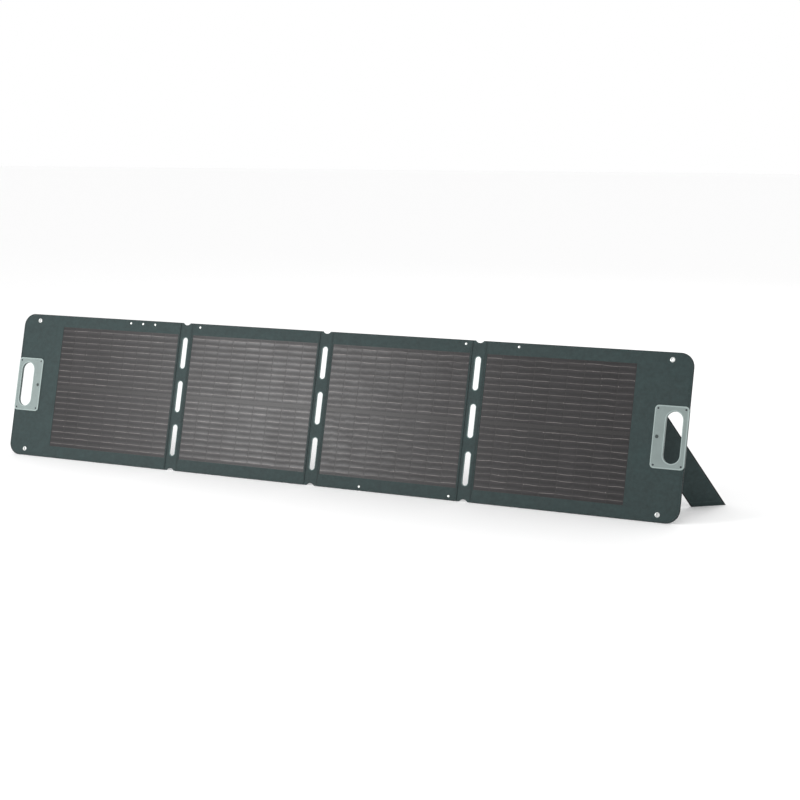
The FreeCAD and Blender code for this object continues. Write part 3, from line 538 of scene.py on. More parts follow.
class Wire:
    """A shader socket that takes part in Python expressions."""

    def __init__(self, paint, socket):
        self.paint = paint
        self.socket = socket

    def math(self, operation, *values):
        """A Math node on this value and others."""
        return self.paint.node("ShaderNodeMath", {"operation": operation}, list(values))

    def __add__(self, other):
        return self.math("ADD", self, other)

    def __radd__(self, other):
        return self.math("ADD", other, self)

    def __sub__(self, other):
        return self.math("SUBTRACT", self, other)

    def __rsub__(self, other):
        return self.math("SUBTRACT", other, self)

    def __mul__(self, other):
        return self.math("MULTIPLY", self, other)

    def __rmul__(self, other):
        return self.math("MULTIPLY", other, self)

    def __truediv__(self, other):
        return self.math("DIVIDE", self, other)

    def __rtruediv__(self, other):
        return self.math("DIVIDE", other, self)

    def __abs__(self):
        return self.math("ABSOLUTE", self)

    def sine(self):
        """Its sine, in radians."""
        return self.math("SINE", self)

    def least(self, other):
        """The smaller of two values."""
        return self.math("MINIMUM", self, other)

    def most(self, other):
        """The larger of two values."""
        return self.math("MAXIMUM", self, other)

    def between(self, low, high):
        """0 below low, 1 above high, and smooth between."""
        values = {"Value": self, "From Min": low, "From Max": high}
        return self.paint.node("ShaderNodeMapRange", {"interpolation_type": "SMOOTHSTEP"}, values)

    def held(self):
        """Held between 0 and 1."""
        return self.most(0.0).least(1.0)


class Paint:
    """One material, and the nodes that make it."""

    def __init__(self, name, **constants):
        self.material = bpy.data.materials.new(name)
        self.material.use_nodes = True
        self.tree = self.material.node_tree
        self.shader = self.tree.nodes["Principled BSDF"]
        for socket, value in constants.items():
            self.shader.inputs[socket.replace("_", " ")].default_value = value

    def node(self, kind, settings=None, values=None, output=0):
        """A node of a kind, its settings made first and then its sockets filled or linked."""
        made = self.tree.nodes.new(kind)
        for name, value in (settings or {}).items():
            setattr(made, name, value)
        items = values.items() if isinstance(values, dict) else enumerate(values or [])
        for key, value in items:
            socket = made.inputs[key]
            if isinstance(value, Wire):
                self.tree.links.new(value.socket, socket)
            else:
                socket.default_value = value
        return Wire(self, made.outputs[output])

    def feed(self, **links):
        """Links values that change over the surface to the shader."""
        for name, value in links.items():
            self.tree.links.new(value.socket, self.shader.inputs[name.replace("_", " ")])

    def cut_map(self):
        """Across and up the piece as it was cut, and both as one vector."""
        both = self.node("ShaderNodeUVMap", {"uv_map": "cut"})
        parts = self.node("ShaderNodeSeparateXYZ", None, [both])
        return parts, Wire(self, parts.socket.node.outputs[1]), both

    def body_map(self):
        """Place on the piece, in the frame's axes."""
        return self.node("ShaderNodeTexCoord", output=3)

    def tint(self):
        """The shade that the piece carries at each point."""
        return self.node("ShaderNodeAttribute", {"attribute_name": "tint"}, output=2)

    def stretched(self, place, *factors):
        """A place multiplied by its own factor along each axis."""
        return self.node("ShaderNodeVectorMath", {"operation": "MULTIPLY"}, [place, factors])

    def noise(self, place, scale, detail=3.0, roughness=0.55):
        """Soft noise; scale is in waves for each metre."""
        values = {"Vector": place, "Scale": scale, "Detail": detail, "Roughness": roughness}
        return self.node("ShaderNodeTexNoise", None, values)

    def blend(self, share, one, other):
        """A colour between two colours."""
        return self.node("ShaderNodeMix", {"data_type": "RGBA"}, {0: share, 6: one, 7: other}, output=2)

    def relief(self, height, strength, distance=MM):
        """A bump whose height is in units of the distance."""
        values = {"Strength": strength, "Distance": distance, "Height": height}
        return self.node("ShaderNodeBump", None, values)


def tone(colour, factor):
    """A lighter or darker copy of a colour."""
    return tuple(min(part * factor, 1.0) for part in colour[:3]) + (1.0,)


MATERIALS = {}


def finish_of(make):
    """Keeps each material once, under its function's name."""
    def get(*arguments):
        key = (make.__name__,) + arguments
        if key not in MATERIALS:
            MATERIALS[key] = make(*arguments)
        return MATERIALS[key]
    return get


def woven(paint, u, v, thread):
    """Height of a plain weave, 0 to 1, and 1 where a cross thread lies on top."""
    squares = paint.node("ShaderNodeCombineXYZ", None, [u / thread, v / thread, 0.25])
    over = paint.node("ShaderNodeTexChecker", None, {"Vector": squares, "Scale": 1.0}, output=1)
    warp = abs((u * (math.pi / thread)).sine())
    weft = abs((v * (math.pi / thread)).sine())
    return over * warp + (1.0 - over) * weft, over


@finish_of
def panel_cloth(name, colour, thread):
    """Coated polyester: a tight plain weave with soft mottling, scuffs and worn edges."""
    paint = Paint(name, Specular_IOR_Level=0.22, Sheen_Weight=0.02, Sheen_Roughness=0.5)
    u, v, place = paint.cut_map()
    weave, over = woven(paint, u, v, thread)
    mottle = paint.noise(place, 9.0, 4.0)
    grain = paint.noise(place, 700.0, 2.0)
    scuffs = paint.noise(paint.stretched(place, 3.0, 60.0, 1.0), 1.6, 5.0, 0.7).between(0.60, 0.78)
    edge = v.least(PANEL_HEIGHT - v).least(PANEL_END - abs(u))
    wear = (1.0 - edge.between(0.5 * MM, 7.0 * MM)) * paint.noise(place, 60.0, 4.0).between(0.35, 0.7)
    flecks = paint.noise(place, 95.0, 3.0, 0.6)
    blotches = paint.noise(place, 34.0, 4.0, 0.65)
    shade = mottle * 0.35 + flecks * 0.80 + blotches * 0.75 + weave * 0.30
    shade = shade + over * 0.08 + grain * 0.25 - 0.78
    base = paint.blend(shade.held(), tone(colour, 0.55), tone(colour, 1.55))
    base = paint.blend(scuffs * 0.16, base, tone(colour, 2.6))
    base = paint.blend(wear * 0.30, base, tone(colour, 2.6))
    waves = paint.noise(place, 11.0, 2.0)
    height = weave * 0.16 + grain * 0.05 + waves * 2.2 + flecks * 0.12 + blotches * 0.5
    paint.feed(Base_Color=base, Roughness=0.34 + mottle * 0.12 + scuffs * 0.1 + weave * 0.06,
               Normal=paint.relief(height, 0.55))
    return paint.material


@finish_of
def cell_glaze(colour, sway):
    """Dark cells under pebbled matt film, with fine finger lines and a soft pale band over each ribbon, a
    painted reflection off the film's ripple that also shapes the bump.
    """
    paint = Paint("cell_glaze", Specular_IOR_Level=0.32)
    u, v, _ = paint.cut_map()
    body = paint.body_map()
    fingers = abs((u * (math.pi / FINGER_PITCH)).sine()).between(0.90, 1.0)
    wander = (paint.noise(body, 26.0, 3.0, 0.6) - 0.5) * sway
    band = (((v + wander) / RIBBON_PITCH - 0.25) * (2.0 * math.pi)).sine()
    cloud = paint.noise(body, 14.0, 5.0, 0.6)
    broken = paint.noise(paint.stretched(body, 6.0, 40.0, 40.0), 4.0, 4.0, 0.65)
    specks = paint.noise(body, 240.0, 1.0).between(0.70, 0.76)
    pebble = paint.node("ShaderNodeTexVoronoi", None, {"Vector": body, "Scale": 620.0})
    # The band term in this colour is a painted reflection, lighter over each ribbon and darker between; in
    # the height below it is the film's real ripple.
    shade = paint.tint() * 0.16 + cloud * 0.30 + broken * 0.34 + band * 0.30
    base = paint.blend(shade.held(), tone(colour, 0.45), tone(colour, 2.3))
    base = paint.blend(fingers * 0.25, base, tone(colour, 2.6))
    base = paint.blend(specks * 0.5, base, tone(colour, 0.30))
    height = band * 0.30 + cloud * 1.1 + pebble * 0.05 + broken * 0.35
    paint.feed(Base_Color=base, Roughness=0.31 + cloud * 0.14 - band * 0.04,
               Normal=paint.relief(height, 0.5))
    return paint.material


@finish_of
def ribbon_metal(colour):
    """Tinned copper ribbon seen through matt film, brighter and duller by turns."""
    paint = Paint("ribbon_metal", Specular_IOR_Level=0.5, Coat_Weight=0.15, Coat_Roughness=0.45)
    place = paint.body_map()
    patches = paint.noise(paint.stretched(place, 1.0, 0.2, 0.2), 75.0, 4.0, 0.7)
    grain = paint.noise(place, 1500.0, 2.0)
    shade = (paint.tint() * 0.75 + patches * 0.7 - 0.30 + (grain - 0.5) * 0.2).held()
    paint.feed(Base_Color=paint.blend(shade, tone(colour, 0.16), colour),
               Metallic=0.15 + shade * 0.25, Roughness=0.62 - shade * 0.2,
               Normal=paint.relief(patches * 0.2 + grain * 0.03, 0.4))
    return paint.material


@finish_of
def moulded(name, colour, roughness, grain_size):
    """Moulded plastic: fine spark-eroded grain, faint flow marks, and from each point's tint a painted
    highlight on raised rims and painted shade in the hand hole's collar.
    """
    paint = Paint(name, Specular_IOR_Level=0.45)
    place = paint.body_map()
    flow = paint.noise(place, 22.0, 3.0)
    grain = paint.noise(place, 1.0 / grain_size, 3.0, 0.7)
    dust = paint.noise(place, 85.0, 5.0, 0.7).between(0.50, 0.78)
    # The tint term paints light: tint 1.0 on raised rims is a painted highlight, and tint 0.0 on the hand
    # hole's collar is painted shade.
    base = paint.blend(flow * 0.3 + paint.tint() * 0.7, tone(colour, 0.62), tone(colour, 1.55))
    base = paint.blend(dust * 0.16, base, tone(colour, 0.55))
    base = paint.blend(grain.between(0.55, 0.8) * 0.12, base, tone(colour, 1.5))
    paint.feed(Base_Color=base, Roughness=roughness - 0.06 + flow * 0.1 + dust * 0.12,
               Normal=paint.relief(grain * 0.06 + flow * 0.12, 0.5))
    return paint.material


@finish_of
def metal(name, colour, roughness, tarnish):
    """Plated or bare metal with turning marks, fine scratches and some tarnish."""
    paint = Paint(name, Specular_IOR_Level=0.5)
    place = paint.body_map()
    stain = paint.noise(place, 160.0, 4.0, 0.65).between(0.45, 0.75)
    scratch = paint.noise(paint.stretched(place, 900.0, 900.0, 5200.0), 1.0, 2.0)
    base = paint.blend(stain * tarnish, colour, tone(colour, 0.35))
    base = paint.blend(scratch.between(0.6, 0.8) * 0.2, base, tone(colour, 1.25))
    paint.feed(Base_Color=base, Metallic=1.0 - stain * tarnish * 0.5,
               Roughness=roughness + stain * 0.2 + scratch * 0.12, Normal=paint.relief(scratch * 0.02, 0.5))
    return paint.material


@finish_of
def fibre_board(name, colour, specular, roughness):
    """Pressed board: short fibres, pores and a slightly fuzzy cut edge."""
    paint = Paint(name, Specular_IOR_Level=specular)
    place = paint.body_map()
    fibres = paint.noise(paint.stretched(place, 1.0, 3.0, 3.0), 260.0, 5.0, 0.75)
    pores = paint.node("ShaderNodeTexVoronoi", None, {"Vector": place, "Scale": 420.0})
    base = paint.blend(fibres.between(0.3, 0.7), tone(colour, 0.7), tone(colour, 1.25))
    base = paint.blend(pores.between(0.5, 0.1) * 0.25, base, tone(colour, 0.45))
    paint.feed(Base_Color=base, Roughness=roughness + fibres * 0.1,
               Normal=paint.relief(fibres * 0.2 - pores * 0.1, 0.6))
    return paint.material


@finish_of
def rubber(name, colour):
    """Soft black rubber with a bloom of pale dust."""
    paint = Paint(name, Specular_IOR_Level=0.3)
    place = paint.body_map()
    bloom = paint.noise(place, 120.0, 5.0, 0.7).between(0.45, 0.75)
    grain = paint.noise(place, 1800.0, 2.0)
    paint.feed(Base_Color=paint.blend(bloom * 0.3, colour, tone(colour, 3.0)), Roughness=0.7 + bloom * 0.15,
               Normal=paint.relief(grain * 0.05, 0.5))
    return paint.material


@finish_of
def circuit_lacquer():
    """Green solder mask with paler tracks showing through."""
    paint = Paint("circuit_lacquer", Specular_IOR_Level=0.5)
    place = paint.body_map()
    values = {"Vector": place, "Color1": (0, 0, 0, 1), "Color2": (0, 0, 0, 1), "Mortar": (1, 1, 1, 1),
              "Scale": 60.0, "Mortar Size": 0.03}
    tracks = paint.node("ShaderNodeTexBrick", {"offset": 0.5, "squash": 1.6}, values, output=1)
    grain = paint.noise(place, 500.0, 3.0)
    base = paint.blend(grain, display(16, 70, 42), display(24, 92, 56))
    base = paint.blend(tracks * 0.5, base, display(70, 130, 70))
    paint.feed(Base_Color=base, Roughness=0.32 + grain * 0.12,
               Normal=paint.relief(tracks * 0.05 + grain * 0.02, 0.6))
    return paint.material


@finish_of
def sewing_thread(name, colour):
    """Twisted bonded thread."""
    paint = Paint(name, Specular_IOR_Level=0.35, Sheen_Weight=0.2)
    place = paint.body_map()
    ply = paint.node("ShaderNodeTexWave", {"wave_type": "BANDS", "bands_direction": "DIAGONAL"},
                     {"Vector": place, "Scale": 900.0, "Distortion": 1.5})
    fuzz = paint.noise(place, 2400.0, 2.0)
    base = paint.blend(ply * 0.6 + fuzz * 0.3, tone(colour, 0.6), tone(colour, 1.3))
    paint.feed(Base_Color=base, Roughness=0.6 + fuzz * 0.2, Normal=paint.relief(ply * 0.08, 0.5))
    return paint.material


# ---- what a user can change
def colour_choice(name, description, default):
    """A colour that the user can set."""
    return bpy.props.FloatVectorProperty(name=name, description=description, default=default,
                                         subtype="COLOR", size=4)


def length_choice(name, description, default, **limits):
    """A length that the user can set."""
    return bpy.props.FloatProperty(name=name, description=description, default=default,
                                   subtype="DISTANCE", unit="LENGTH", **limits)


class PanelColours(bpy.types.PropertyGroup):
    """Colours of the panel's cloth, cells and plastics."""
    face: colour_choice("Face cloth", "Front cloth and fold bands", display(33, 48, 48))
    rim: colour_choice("Rim", "Turned edge of each segment", display(18, 26, 27))
    back: colour_choice("Back cloth", "Cloth of the back", display(38, 47, 48))
    slot_rim: colour_choice("Slot rims", "Raised rims round the fold slots", display(84, 102, 100))
    cell: colour_choice("Cells", "Cells under their film", display(31, 29, 30))
    ribbon: colour_choice("Ribbons", "Tinned ribbons over the cells", display(134, 128, 126))
    handle: colour_choice("Handles", "Moulded handle plates", display(122, 134, 132))
    stand: colour_choice("Stands", "Cloth of the two legs", display(34, 48, 48))


class PanelSizes(bpy.types.PropertyGroup):
    """Sizes of the fine detail, which the frame doesn't fix."""
    thread: length_choice("Thread", "Width of one thread of the cloth", 0.95 * MM, min=0.2 * MM)
    weld_inset: length_choice("Weld inset", "Pressed line, from the edge", 4.4 * MM)
    weld_width: length_choice("Weld width", "Width of the pressed line", 1.4 * MM)
    rim_width: length_choice("Rim width", "Width of the turned edge on the face", 2.0 * MM)
    ripple: length_choice("Ribbon ripple", "How far a ribbon strays from straight", 1.2 * MM)


class StageSettings(bpy.types.PropertyGroup):
    """Camera and floor."""
    camera_place: bpy.props.FloatVectorProperty(
        name="Camera", description="Where the camera stands", subtype="XYZ", unit="LENGTH",
        default=(2.3664, -4.2540, 1.0003))
    yaw: bpy.props.FloatProperty(
        name="Yaw", description="Camera turned left of the panel's square view", subtype="ANGLE",
        default=math.radians(26.80))
    pitch: bpy.props.FloatProperty(
        name="Pitch", description="Camera tilted down", subtype="ANGLE", default=math.radians(9.0))
    lens: bpy.props.FloatProperty(name="Lens", description="Focal length on a 36 mm frame", default=75.1)
    floor: colour_choice("Floor", "Pale floor", (0.97, 0.97, 0.97, 1.0))


def colours():
    """The colours that are set."""
    return bpy.context.scene.panel_colours


def sizes():
    """The fine sizes that are set."""
    return bpy.context.scene.panel_sizes


def face_cloth():
    """Material of the front cloth and the fold bands."""
    return panel_cloth("face_cloth", tuple(colours().face), sizes().thread)


def box_plastic():
    """Material of the junction box and its lid."""
    return moulded("box_plastic", display(30, 34, 36), 0.48, 0.7 * MM)


def screw_steel():
    """Material of every screw."""
    return metal("screw_steel", display(74, 78, 80), 0.38, 0.5)


def weld_lines(number):
    """Outer edge, middle and inner edge of the line that is pressed round a segment."""
    inset, width = sizes().weld_inset, sizes().weld_width
    return [segment_outline(number, inset + share * width, WELD_SIDE_INSET + share * width)
            for share in (0.0, 0.5, 1.0)]


# ---- pieces
def make_face(number):
    """Front cloth of a segment: a frame round the cells with a line pressed along its edge."""
    under_rim = segment_outline(number, sizes().rim_width * 0.6)
    outer, _, inner = weld_lines(number)
    blank = Blank()
    blank.plate([under_rim, outer], 0.0, FACE_THICKNESS, 0.2 * MM)
    blank.plate([outer, inner], WELD_DEPTH, FACE_THICKNESS, 0.1 * MM)
    window = window_outline(number, WINDOW_CLEARANCE)
    blank.plate([inner, window] + holes_through(number), 0.0, FACE_THICKNESS, 0.25 * MM)
    piece = blank.piece("face_cloth_%d" % number, face_cloth(), "face_cloth", "segment_%d" % number)
    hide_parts("face_sheet_%d" % number)


def make_back(number):
    """Back cloth of a segment and the edge that it turns over the board."""
    body = "segment_%d" % number
    front = PANEL_THICKNESS - COVER_THICKNESS
    outer, _, inner = weld_lines(number)
    blank = Blank()
    blank.plate([segment_outline(number, 0.4 * MM), outer], front, PANEL_THICKNESS, 0.2 * MM)
    blank.plate([outer, inner], front, PANEL_THICKNESS - WELD_DEPTH, 0.1 * MM)
    blank.plate([inner] + holes_through(number), front, PANEL_THICKNESS, 0.2 * MM)
    coarse = panel_cloth("back_cloth", tuple(colours().back), sizes().thread * 1.5)
    cloth = blank.piece("back_cloth_%d" % number, coarse, "back_cloth", body)
    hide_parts("back_cover_%d" % number)

    rim = Blank()
    turned_in = segment_outline(number, sizes().rim_width, sizes().rim_width)
    rim.plate([segment_outline(number, 0.0), turned_in], -0.12 * MM, PANEL_THICKNESS + 0.1 * MM, 0.7 * MM)
    rim_cloth = panel_cloth("rim_cloth", tuple(colours().rim), sizes().thread)
    edge = rim.piece("turned_edge_%d" % number, rim_cloth, "back_cloth", body)
    left, right = stiff_span(number)
    right - left
    "core_board_%d" % number


def make_stitching(number):
    """Lockstitches along the pressed line, seen on both faces."""
    path = weld_lines(number)[1]
    blank = Blank()
    for depth, outward in ((STITCH_DEPTH, -1.0), (PANEL_THICKNESS - STITCH_DEPTH, 1.0)):
        for start, end in zip(path, path[1:] + path[:1]):
            blank.stitches(start, end, depth, outward, length=3.9 * MM, gap=1.9 * MM, radius=0.34 * MM)
    thread = sewing_thread("edge_thread", display(48, 62, 61))
    blank.piece("edge_stitching_%d" % number, thread, "back_cloth", "segment_%d" % number)


def make_wafers(number):
    """The cells of a segment, each a thin tile with eased corners."""
    shades = random.Random(40 + number)
    blank = Blank()
    left = field_left(number)
    for column in range(COLUMNS):
        for row in range(ROWS):
            x = left + column * COLUMN_PITCH
            z = FIELD_BOTTOM + row * ROW_PITCH
            outline = rounded_rectangle(x, x + CELL_WIDTH, z, z + CELL_HEIGHT, 0.8 * MM, 0.8 * MM)
            blank.plate([outline], WAFER_FRONT, FACE_THICKNESS, 0.1 * MM, tint=shades.random(), origin=(x, z))
    glaze = cell_glaze(tuple(colours().cell), sizes().ripple * FILM_SWAY[number])
    piece = blank.piece("cells_%d" % number, glaze, "solar_cell", "segment_%d" % number)
    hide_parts("solar_cells_%d" % number)


def make_ribbons(number):
    """Tinned ribbons over each row of cells, dipping between cells, with pads of solder."""
    shades = random.Random(80 + number)
    blank = Blank()
    left = field_left(number)
    half = RIBBON_WIDTH / 2.0
    stray = sizes().ripple * RIBBON_STRAY[number]
    steps_per_cell = 6
    pad = in_mm([(0.0, -0.14), (0.8, -0.08), (1.15, 0.1), (0.0, 0.12)], WAFER_FRONT - RIBBON_THICKNESS)
    for line in range(ROWS * RIBBONS_PER_CELL):
        row, i = divmod(line, RIBBONS_PER_CELL)
        middle = FIELD_BOTTOM + row * ROW_PITCH + RIBBON_PITCH * (i + 0.5)
        rings = []
        tints = []
        for column in range(COLUMNS):
            shade = 0.15 + 0.75 * shades.random()
            for k in range(steps_per_cell + 1):
                share = k / steps_per_cell
                x = left + column * COLUMN_PITCH + share * CELL_WIDTH
                place = Vector((x * RIPPLE_WAVES, middle * RIPPLE_WAVES, number * 3.0))
                z = middle + stray * noise.noise(place)
                end_dip = RIBBON_END_DIP if k in (0, steps_per_cell) else 0.0
                back = WAFER_FRONT + end_dip
                front = back - RIBBON_THICKNESS
                rings.append([(x, back, z - half), (x, front, z - half * 0.6), (x, front, z + half * 0.6),
                              (x, back, z + half)])
                # Where a ribbon dips between cells its shade drops to 0.7: painted shade in the gap.
                tints.append(shade * (0.7 if end_dip else 1.0))
        blank.sweep(rings, tints)
        for column in range(COLUMNS):
            if shades.random() < SOLDER_SHARE:
                x = left + column * COLUMN_PITCH + CELL_WIDTH * shades.choice((0.04, 0.5, 0.96))
                blank.turned(x, middle, pad, steps=12, tint=1.0)
    ribbon = ribbon_metal(tuple(colours().ribbon))
    piece = blank.piece("ribbons_%d" % number, ribbon, "busbar", "segment_%d" % number)
    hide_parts("busbars_%d" % number)


def make_fold(index):
    """One fold band: notched ends, three slots with raised rims, and a pressed line at each side."""
    fold = (index - 2) * FOLD_PITCH
    blank = Blank()
    radius = ((NOTCH_WIDTH / 2.0) ** 2 + NOTCH_DEPTH ** 2) / (2.0 * NOTCH_DEPTH)
    spread = math.degrees(math.asin(NOTCH_WIDTH / 2.0 / radius))
    low = arc(fold, NOTCH_DEPTH - radius, radius, 90.0 + spread, 90.0 - spread)
    high = arc(fold, PANEL_HEIGHT - NOTCH_DEPTH + radius, radius, -90.0 + spread, -90.0 - spread)
    left, right = fold - BAND_HALF_WIDTH, fold + BAND_HALF_WIDTH
    outline = [(left, 0.0)] + low + [(right, 0.0), (right, PANEL_HEIGHT)] + high + [(left, PANEL_HEIGHT)]
    slots = [stadium(fold, z, SLOT_WIDTH, SLOT_HEIGHT) for z in SLOT_CENTRES]
    blank.plate([outline] + slots, BAND_FRONT, BAND_BACK, 0.5 * MM)
    for side in (-1.0, 1.0):
        near, far = sorted(fold + side * (BAND_HALF_WIDTH - inset) for inset in BAND_LINE)
        line = rounded_rectangle(near, far, BAND_LINE_FROM_END, PANEL_HEIGHT - BAND_LINE_FROM_END,
                                 0.5 * MM, 0.5 * MM)
        blank.plate([line], BAND_FRONT - BAND_LINE_RISE, BAND_BACK + BAND_LINE_RISE, 0.2 * MM)
    rims = Blank()
    grow = 2.0 * SLOT_RIM_WIDTH
    for z, slot in zip(SLOT_CENTRES, slots):
        rim = [stadium(fold, z, SLOT_WIDTH + grow, SLOT_HEIGHT + grow), slot]
        rims.plate(rim, BAND_FRONT - SLOT_RIM_RISE, BAND_BACK + SLOT_RIM_RISE, 0.45 * MM)
    bends = [BEND_HALF_WIDTH * i / 5.0 for i in range(-6, 7)]
    columns = [-BAND_HALF_WIDTH * 0.7] + bends + [BAND_HALF_WIDTH * 0.7]
    rim_finish = panel_cloth("slot_rim", tuple(colours().slot_rim), sizes().thread * 0.7)
    for name, part, finish in (("fold_band", blank, face_cloth()), ("slot_rims", rims, rim_finish)):
        part.split_columns([fold + offset for offset in columns])
        piece = part.piece("%s_%d" % (name, index), finish, "band_cloth")
        in_frame(fold - BEND_HALF_WIDTH, BAND_FRONT, MID_HEIGHT)
        in_frame(fold + BEND_HALF_WIDTH, BAND_FRONT, MID_HEIGHT)
        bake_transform(piece)
    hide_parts("fold_band_%d_left" % index, "fold_band_%d_right" % index)
    slot_area = SLOT_WIDTH * (SLOT_HEIGHT - SLOT_WIDTH) + math.pi * (SLOT_WIDTH / 2.0) ** 2
    flat = (2.0 * BAND_HALF_WIDTH, PANEL_HEIGHT)
    flat[0] * flat[1] - len(SLOT_CENTRES) * slot_area


def make_edge_rivets(number):
    """Small domed rivets with rolled tails along a segment's edges."""
    blank = Blank()
    head = [(0.0, -0.95), (1.3, -0.88), (2.6, -0.62), (3.4, -0.28), (3.6, 0.0), (1.8, 0.05)]
    tail = [(1.8, 3.95), (3.3, 4.0), (3.5, 4.25), (2.9, 4.5), (1.5, 4.5), (0.9, 4.25), (0.0, 4.2)]
    for x, z in RIVET_PLACES[number]:
        blank.turned(x, z, in_mm(head + tail))
    bright = metal("rivet_metal", display(214, 216, 214), 0.28, 0.3)
    piece = blank.piece("rivets_%d" % number, bright, "rivet_metal", "segment_%d" % number, 50.0)
    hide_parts("edge_rivets_%d" % number)


def make_eyelets(side):
    """Rolled grommets: a smooth curl on each face and a seamed barrel."""
    number = SIDES[side][1]
    blank = Blank()
    curl = [(3.5, 0.6), (3.55, -0.2), (3.9, -0.75), (4.7, -1.05), (5.7, -1.0), (6.6, -0.65), (7.0, -0.1),
            (6.8, 0.1), (4.3, 0.1)]
    back = [(radius, PANEL_THICKNESS / MM - depth) for radius, depth in reversed(curl)]
    for x, z in eyelet_places(number):
        blank.turned(x, z, in_mm(curl + back), closed=True, steps=FINE_ROUND_STEPS)
    bright = metal("eyelet_metal", display(206, 208, 206), 0.24, 0.35)
    piece = blank.piece("eyelet_rings_" + side, bright, "eyelet_metal", "segment_%d" % number, 60.0)
    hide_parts("eyelets_" + side)


def make_handle(side):
    """The two plates of a handle: raised rims, screw seats, and a collar that lines the hand hole."""
    left, right, hole_x = handle_limits(side)
    body = "segment_%d" % SIDES[side][1]
    low, high = MID_HEIGHT - HANDLE_HEIGHT / 2.0, MID_HEIGHT + HANDLE_HEIGHT / 2.0
    finish = moulded("handle_plastic", tuple(colours().handle), 0.42, 0.8 * MM)

    def outline(inset):
        corner = HANDLE_CORNER - inset
        return rounded_rectangle(left + inset, right - inset, low + inset, high - inset, corner, corner)

    def hole(grow):
        return stadium(hole_x, MID_HEIGHT, HOLE_WIDTH + 2.0 * grow, HOLE_HEIGHT + 2.0 * grow)

    seats = [circle(x, z, SCREW_SEAT) for x, z in handle_screw_places(side)]
    stud = stud_place(side)
    front = Blank()
    field = -HANDLE_DEPTH + 0.5 * MM
    openings = [hole(0.0)] + seats + [circle(*stud, 4.6 * MM)]
    front.plate([outline(0.0)] + openings, field, 0.0, 0.6 * MM, tint=0.3)
    rim = [outline(0.25 * MM), outline(PLATE_RIM)]
    # Tint 1.0 on the raised rim is a painted highlight.
    front.plate(rim, -HANDLE_DEPTH, field + 0.7 * MM, 0.55 * MM, tint=1.0)
    # Tint 0.0 on the collar is painted shade inside the hand hole.
    front.plate([hole(COLLAR_WALL), hole(0.0)], field, PANEL_THICKNESS, 0.3 * MM, tint=0.0)
    lip = [hole(HOLE_RIM), hole(0.1 * MM)]
    # Tint 1.0 on the lip round the hand hole is a painted highlight.
    front.plate(lip, -HANDLE_DEPTH - 0.1 * MM, field + 0.6 * MM, 0.55 * MM, tint=1.0)
    for x, z in handle_screw_places(side):
        ring = [circle(x, z, 4.9 * MM), circle(x, z, SCREW_SEAT)]
        front.plate(ring, -HANDLE_DEPTH + 0.2 * MM, field + 0.5 * MM, 0.25 * MM)
        washer = [circle(x, z, 3.1 * MM), circle(x, z, SCREW_HOLE)]
        front.plate(washer, -1.1 * MM, -0.2 * MM, 0.1 * MM)
    front.turned(*stud, in_mm([(0.0, -0.9), (4.7, -0.9), (4.7, -0.3), (0.0, -0.3)]))
    piece = front.piece("handle_plate_front_" + side, finish, "handle_plastic", body)
    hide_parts("handle_front_" + side)

    back = Blank()
    rear = PANEL_THICKNESS + HANDLE_DEPTH
    back.plate([outline(0.0), hole(0.0)], PANEL_THICKNESS, rear - 0.5 * MM, 0.6 * MM, tint=0.3)
    # Tint 1.0 on the back's rim and hole lip is a painted highlight.
    back.plate(rim, rear - 1.2 * MM, rear, 0.55 * MM, tint=1.0)
    back.plate([hole(HOLE_RIM), hole(0.05 * MM)], PANEL_THICKNESS - 0.2 * MM, rear, 0.7 * MM, tint=1.0)
    boss = [(0.0, -0.12), (2.8, -0.12), (3.6, -0.4), (4.2, -0.9), (4.2, -1.4), (0.0, -1.4)]
    for x, z in handle_screw_places(side):
        back.turned(x, z, in_mm(boss, rear))
    piece = back.piece("handle_plate_back_" + side, finish, "handle_plastic", body)
    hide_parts("handle_back_" + side)


def recessed_head(blank, x, z, front, radius, rise, shank, tip):
    """A screw with a crowned head, a cross recess and a plain shank."""
    shares = (0.0, 0.08, 0.16, 0.24, 0.34, 0.44, 0.54, 0.64, 0.76, 0.88, 0.96, 1.0)
    crown = [(share * radius, front + rise * share ** 3) for share in shares]
    rim = front + rise
    under = rim + 0.4 * radius

    def cross(side, up, depth):
        narrow, wide = sorted((abs(side), abs(up)))
        in_cross = depth <= rim and narrow < 0.13 * radius and wide < 0.6 * radius
        return 0.32 * radius if in_cross else 0.0

    profile = crown + [(radius, under), (shank, under), (shank, tip), (0.0, tip)]
    blank.turned(x, z, profile, steps=FINE_ROUND_STEPS, recess=cross)


def make_handle_fasteners(side):
    """The four screws of a handle and its closing stud."""
    body = "segment_%d" % SIDES[side][1]
    screws = Blank()
    for x, z in handle_screw_places(side):
        recessed_head(screws, x, z, -2.25 * MM, 2.75 * MM, 0.25 * MM, 1.45 * MM, 6.0 * MM)
    piece = screws.piece("screws_" + side, screw_steel(), "screw_steel", body, 30.0)
    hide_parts("handle_screws_" + side)

    stud = Blank()
    cap = [(0.0, -2.55), (1.2, -2.55), (1.5, -2.9), (2.1, -3.0), (3.4, -3.0), (4.2, -2.8), (4.5, -2.4),
           (4.5, -2.0), (0.0, -2.0)]
    stud.turned(*stud_place(side), in_mm(cap))
    pip = [(0.0, -2.75), (0.7, -2.7), (0.9, -2.5), (0.0, -2.5)]
    stud.turned(*stud_place(side), in_mm(pip), steps=24)
    dark = moulded("stud_plastic", display(46, 56, 55), 0.4, 0.6 * MM)
    piece = stud.piece("stud_" + side, dark, "stud_plastic", body, 40.0)
    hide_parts("handle_stud_" + side)


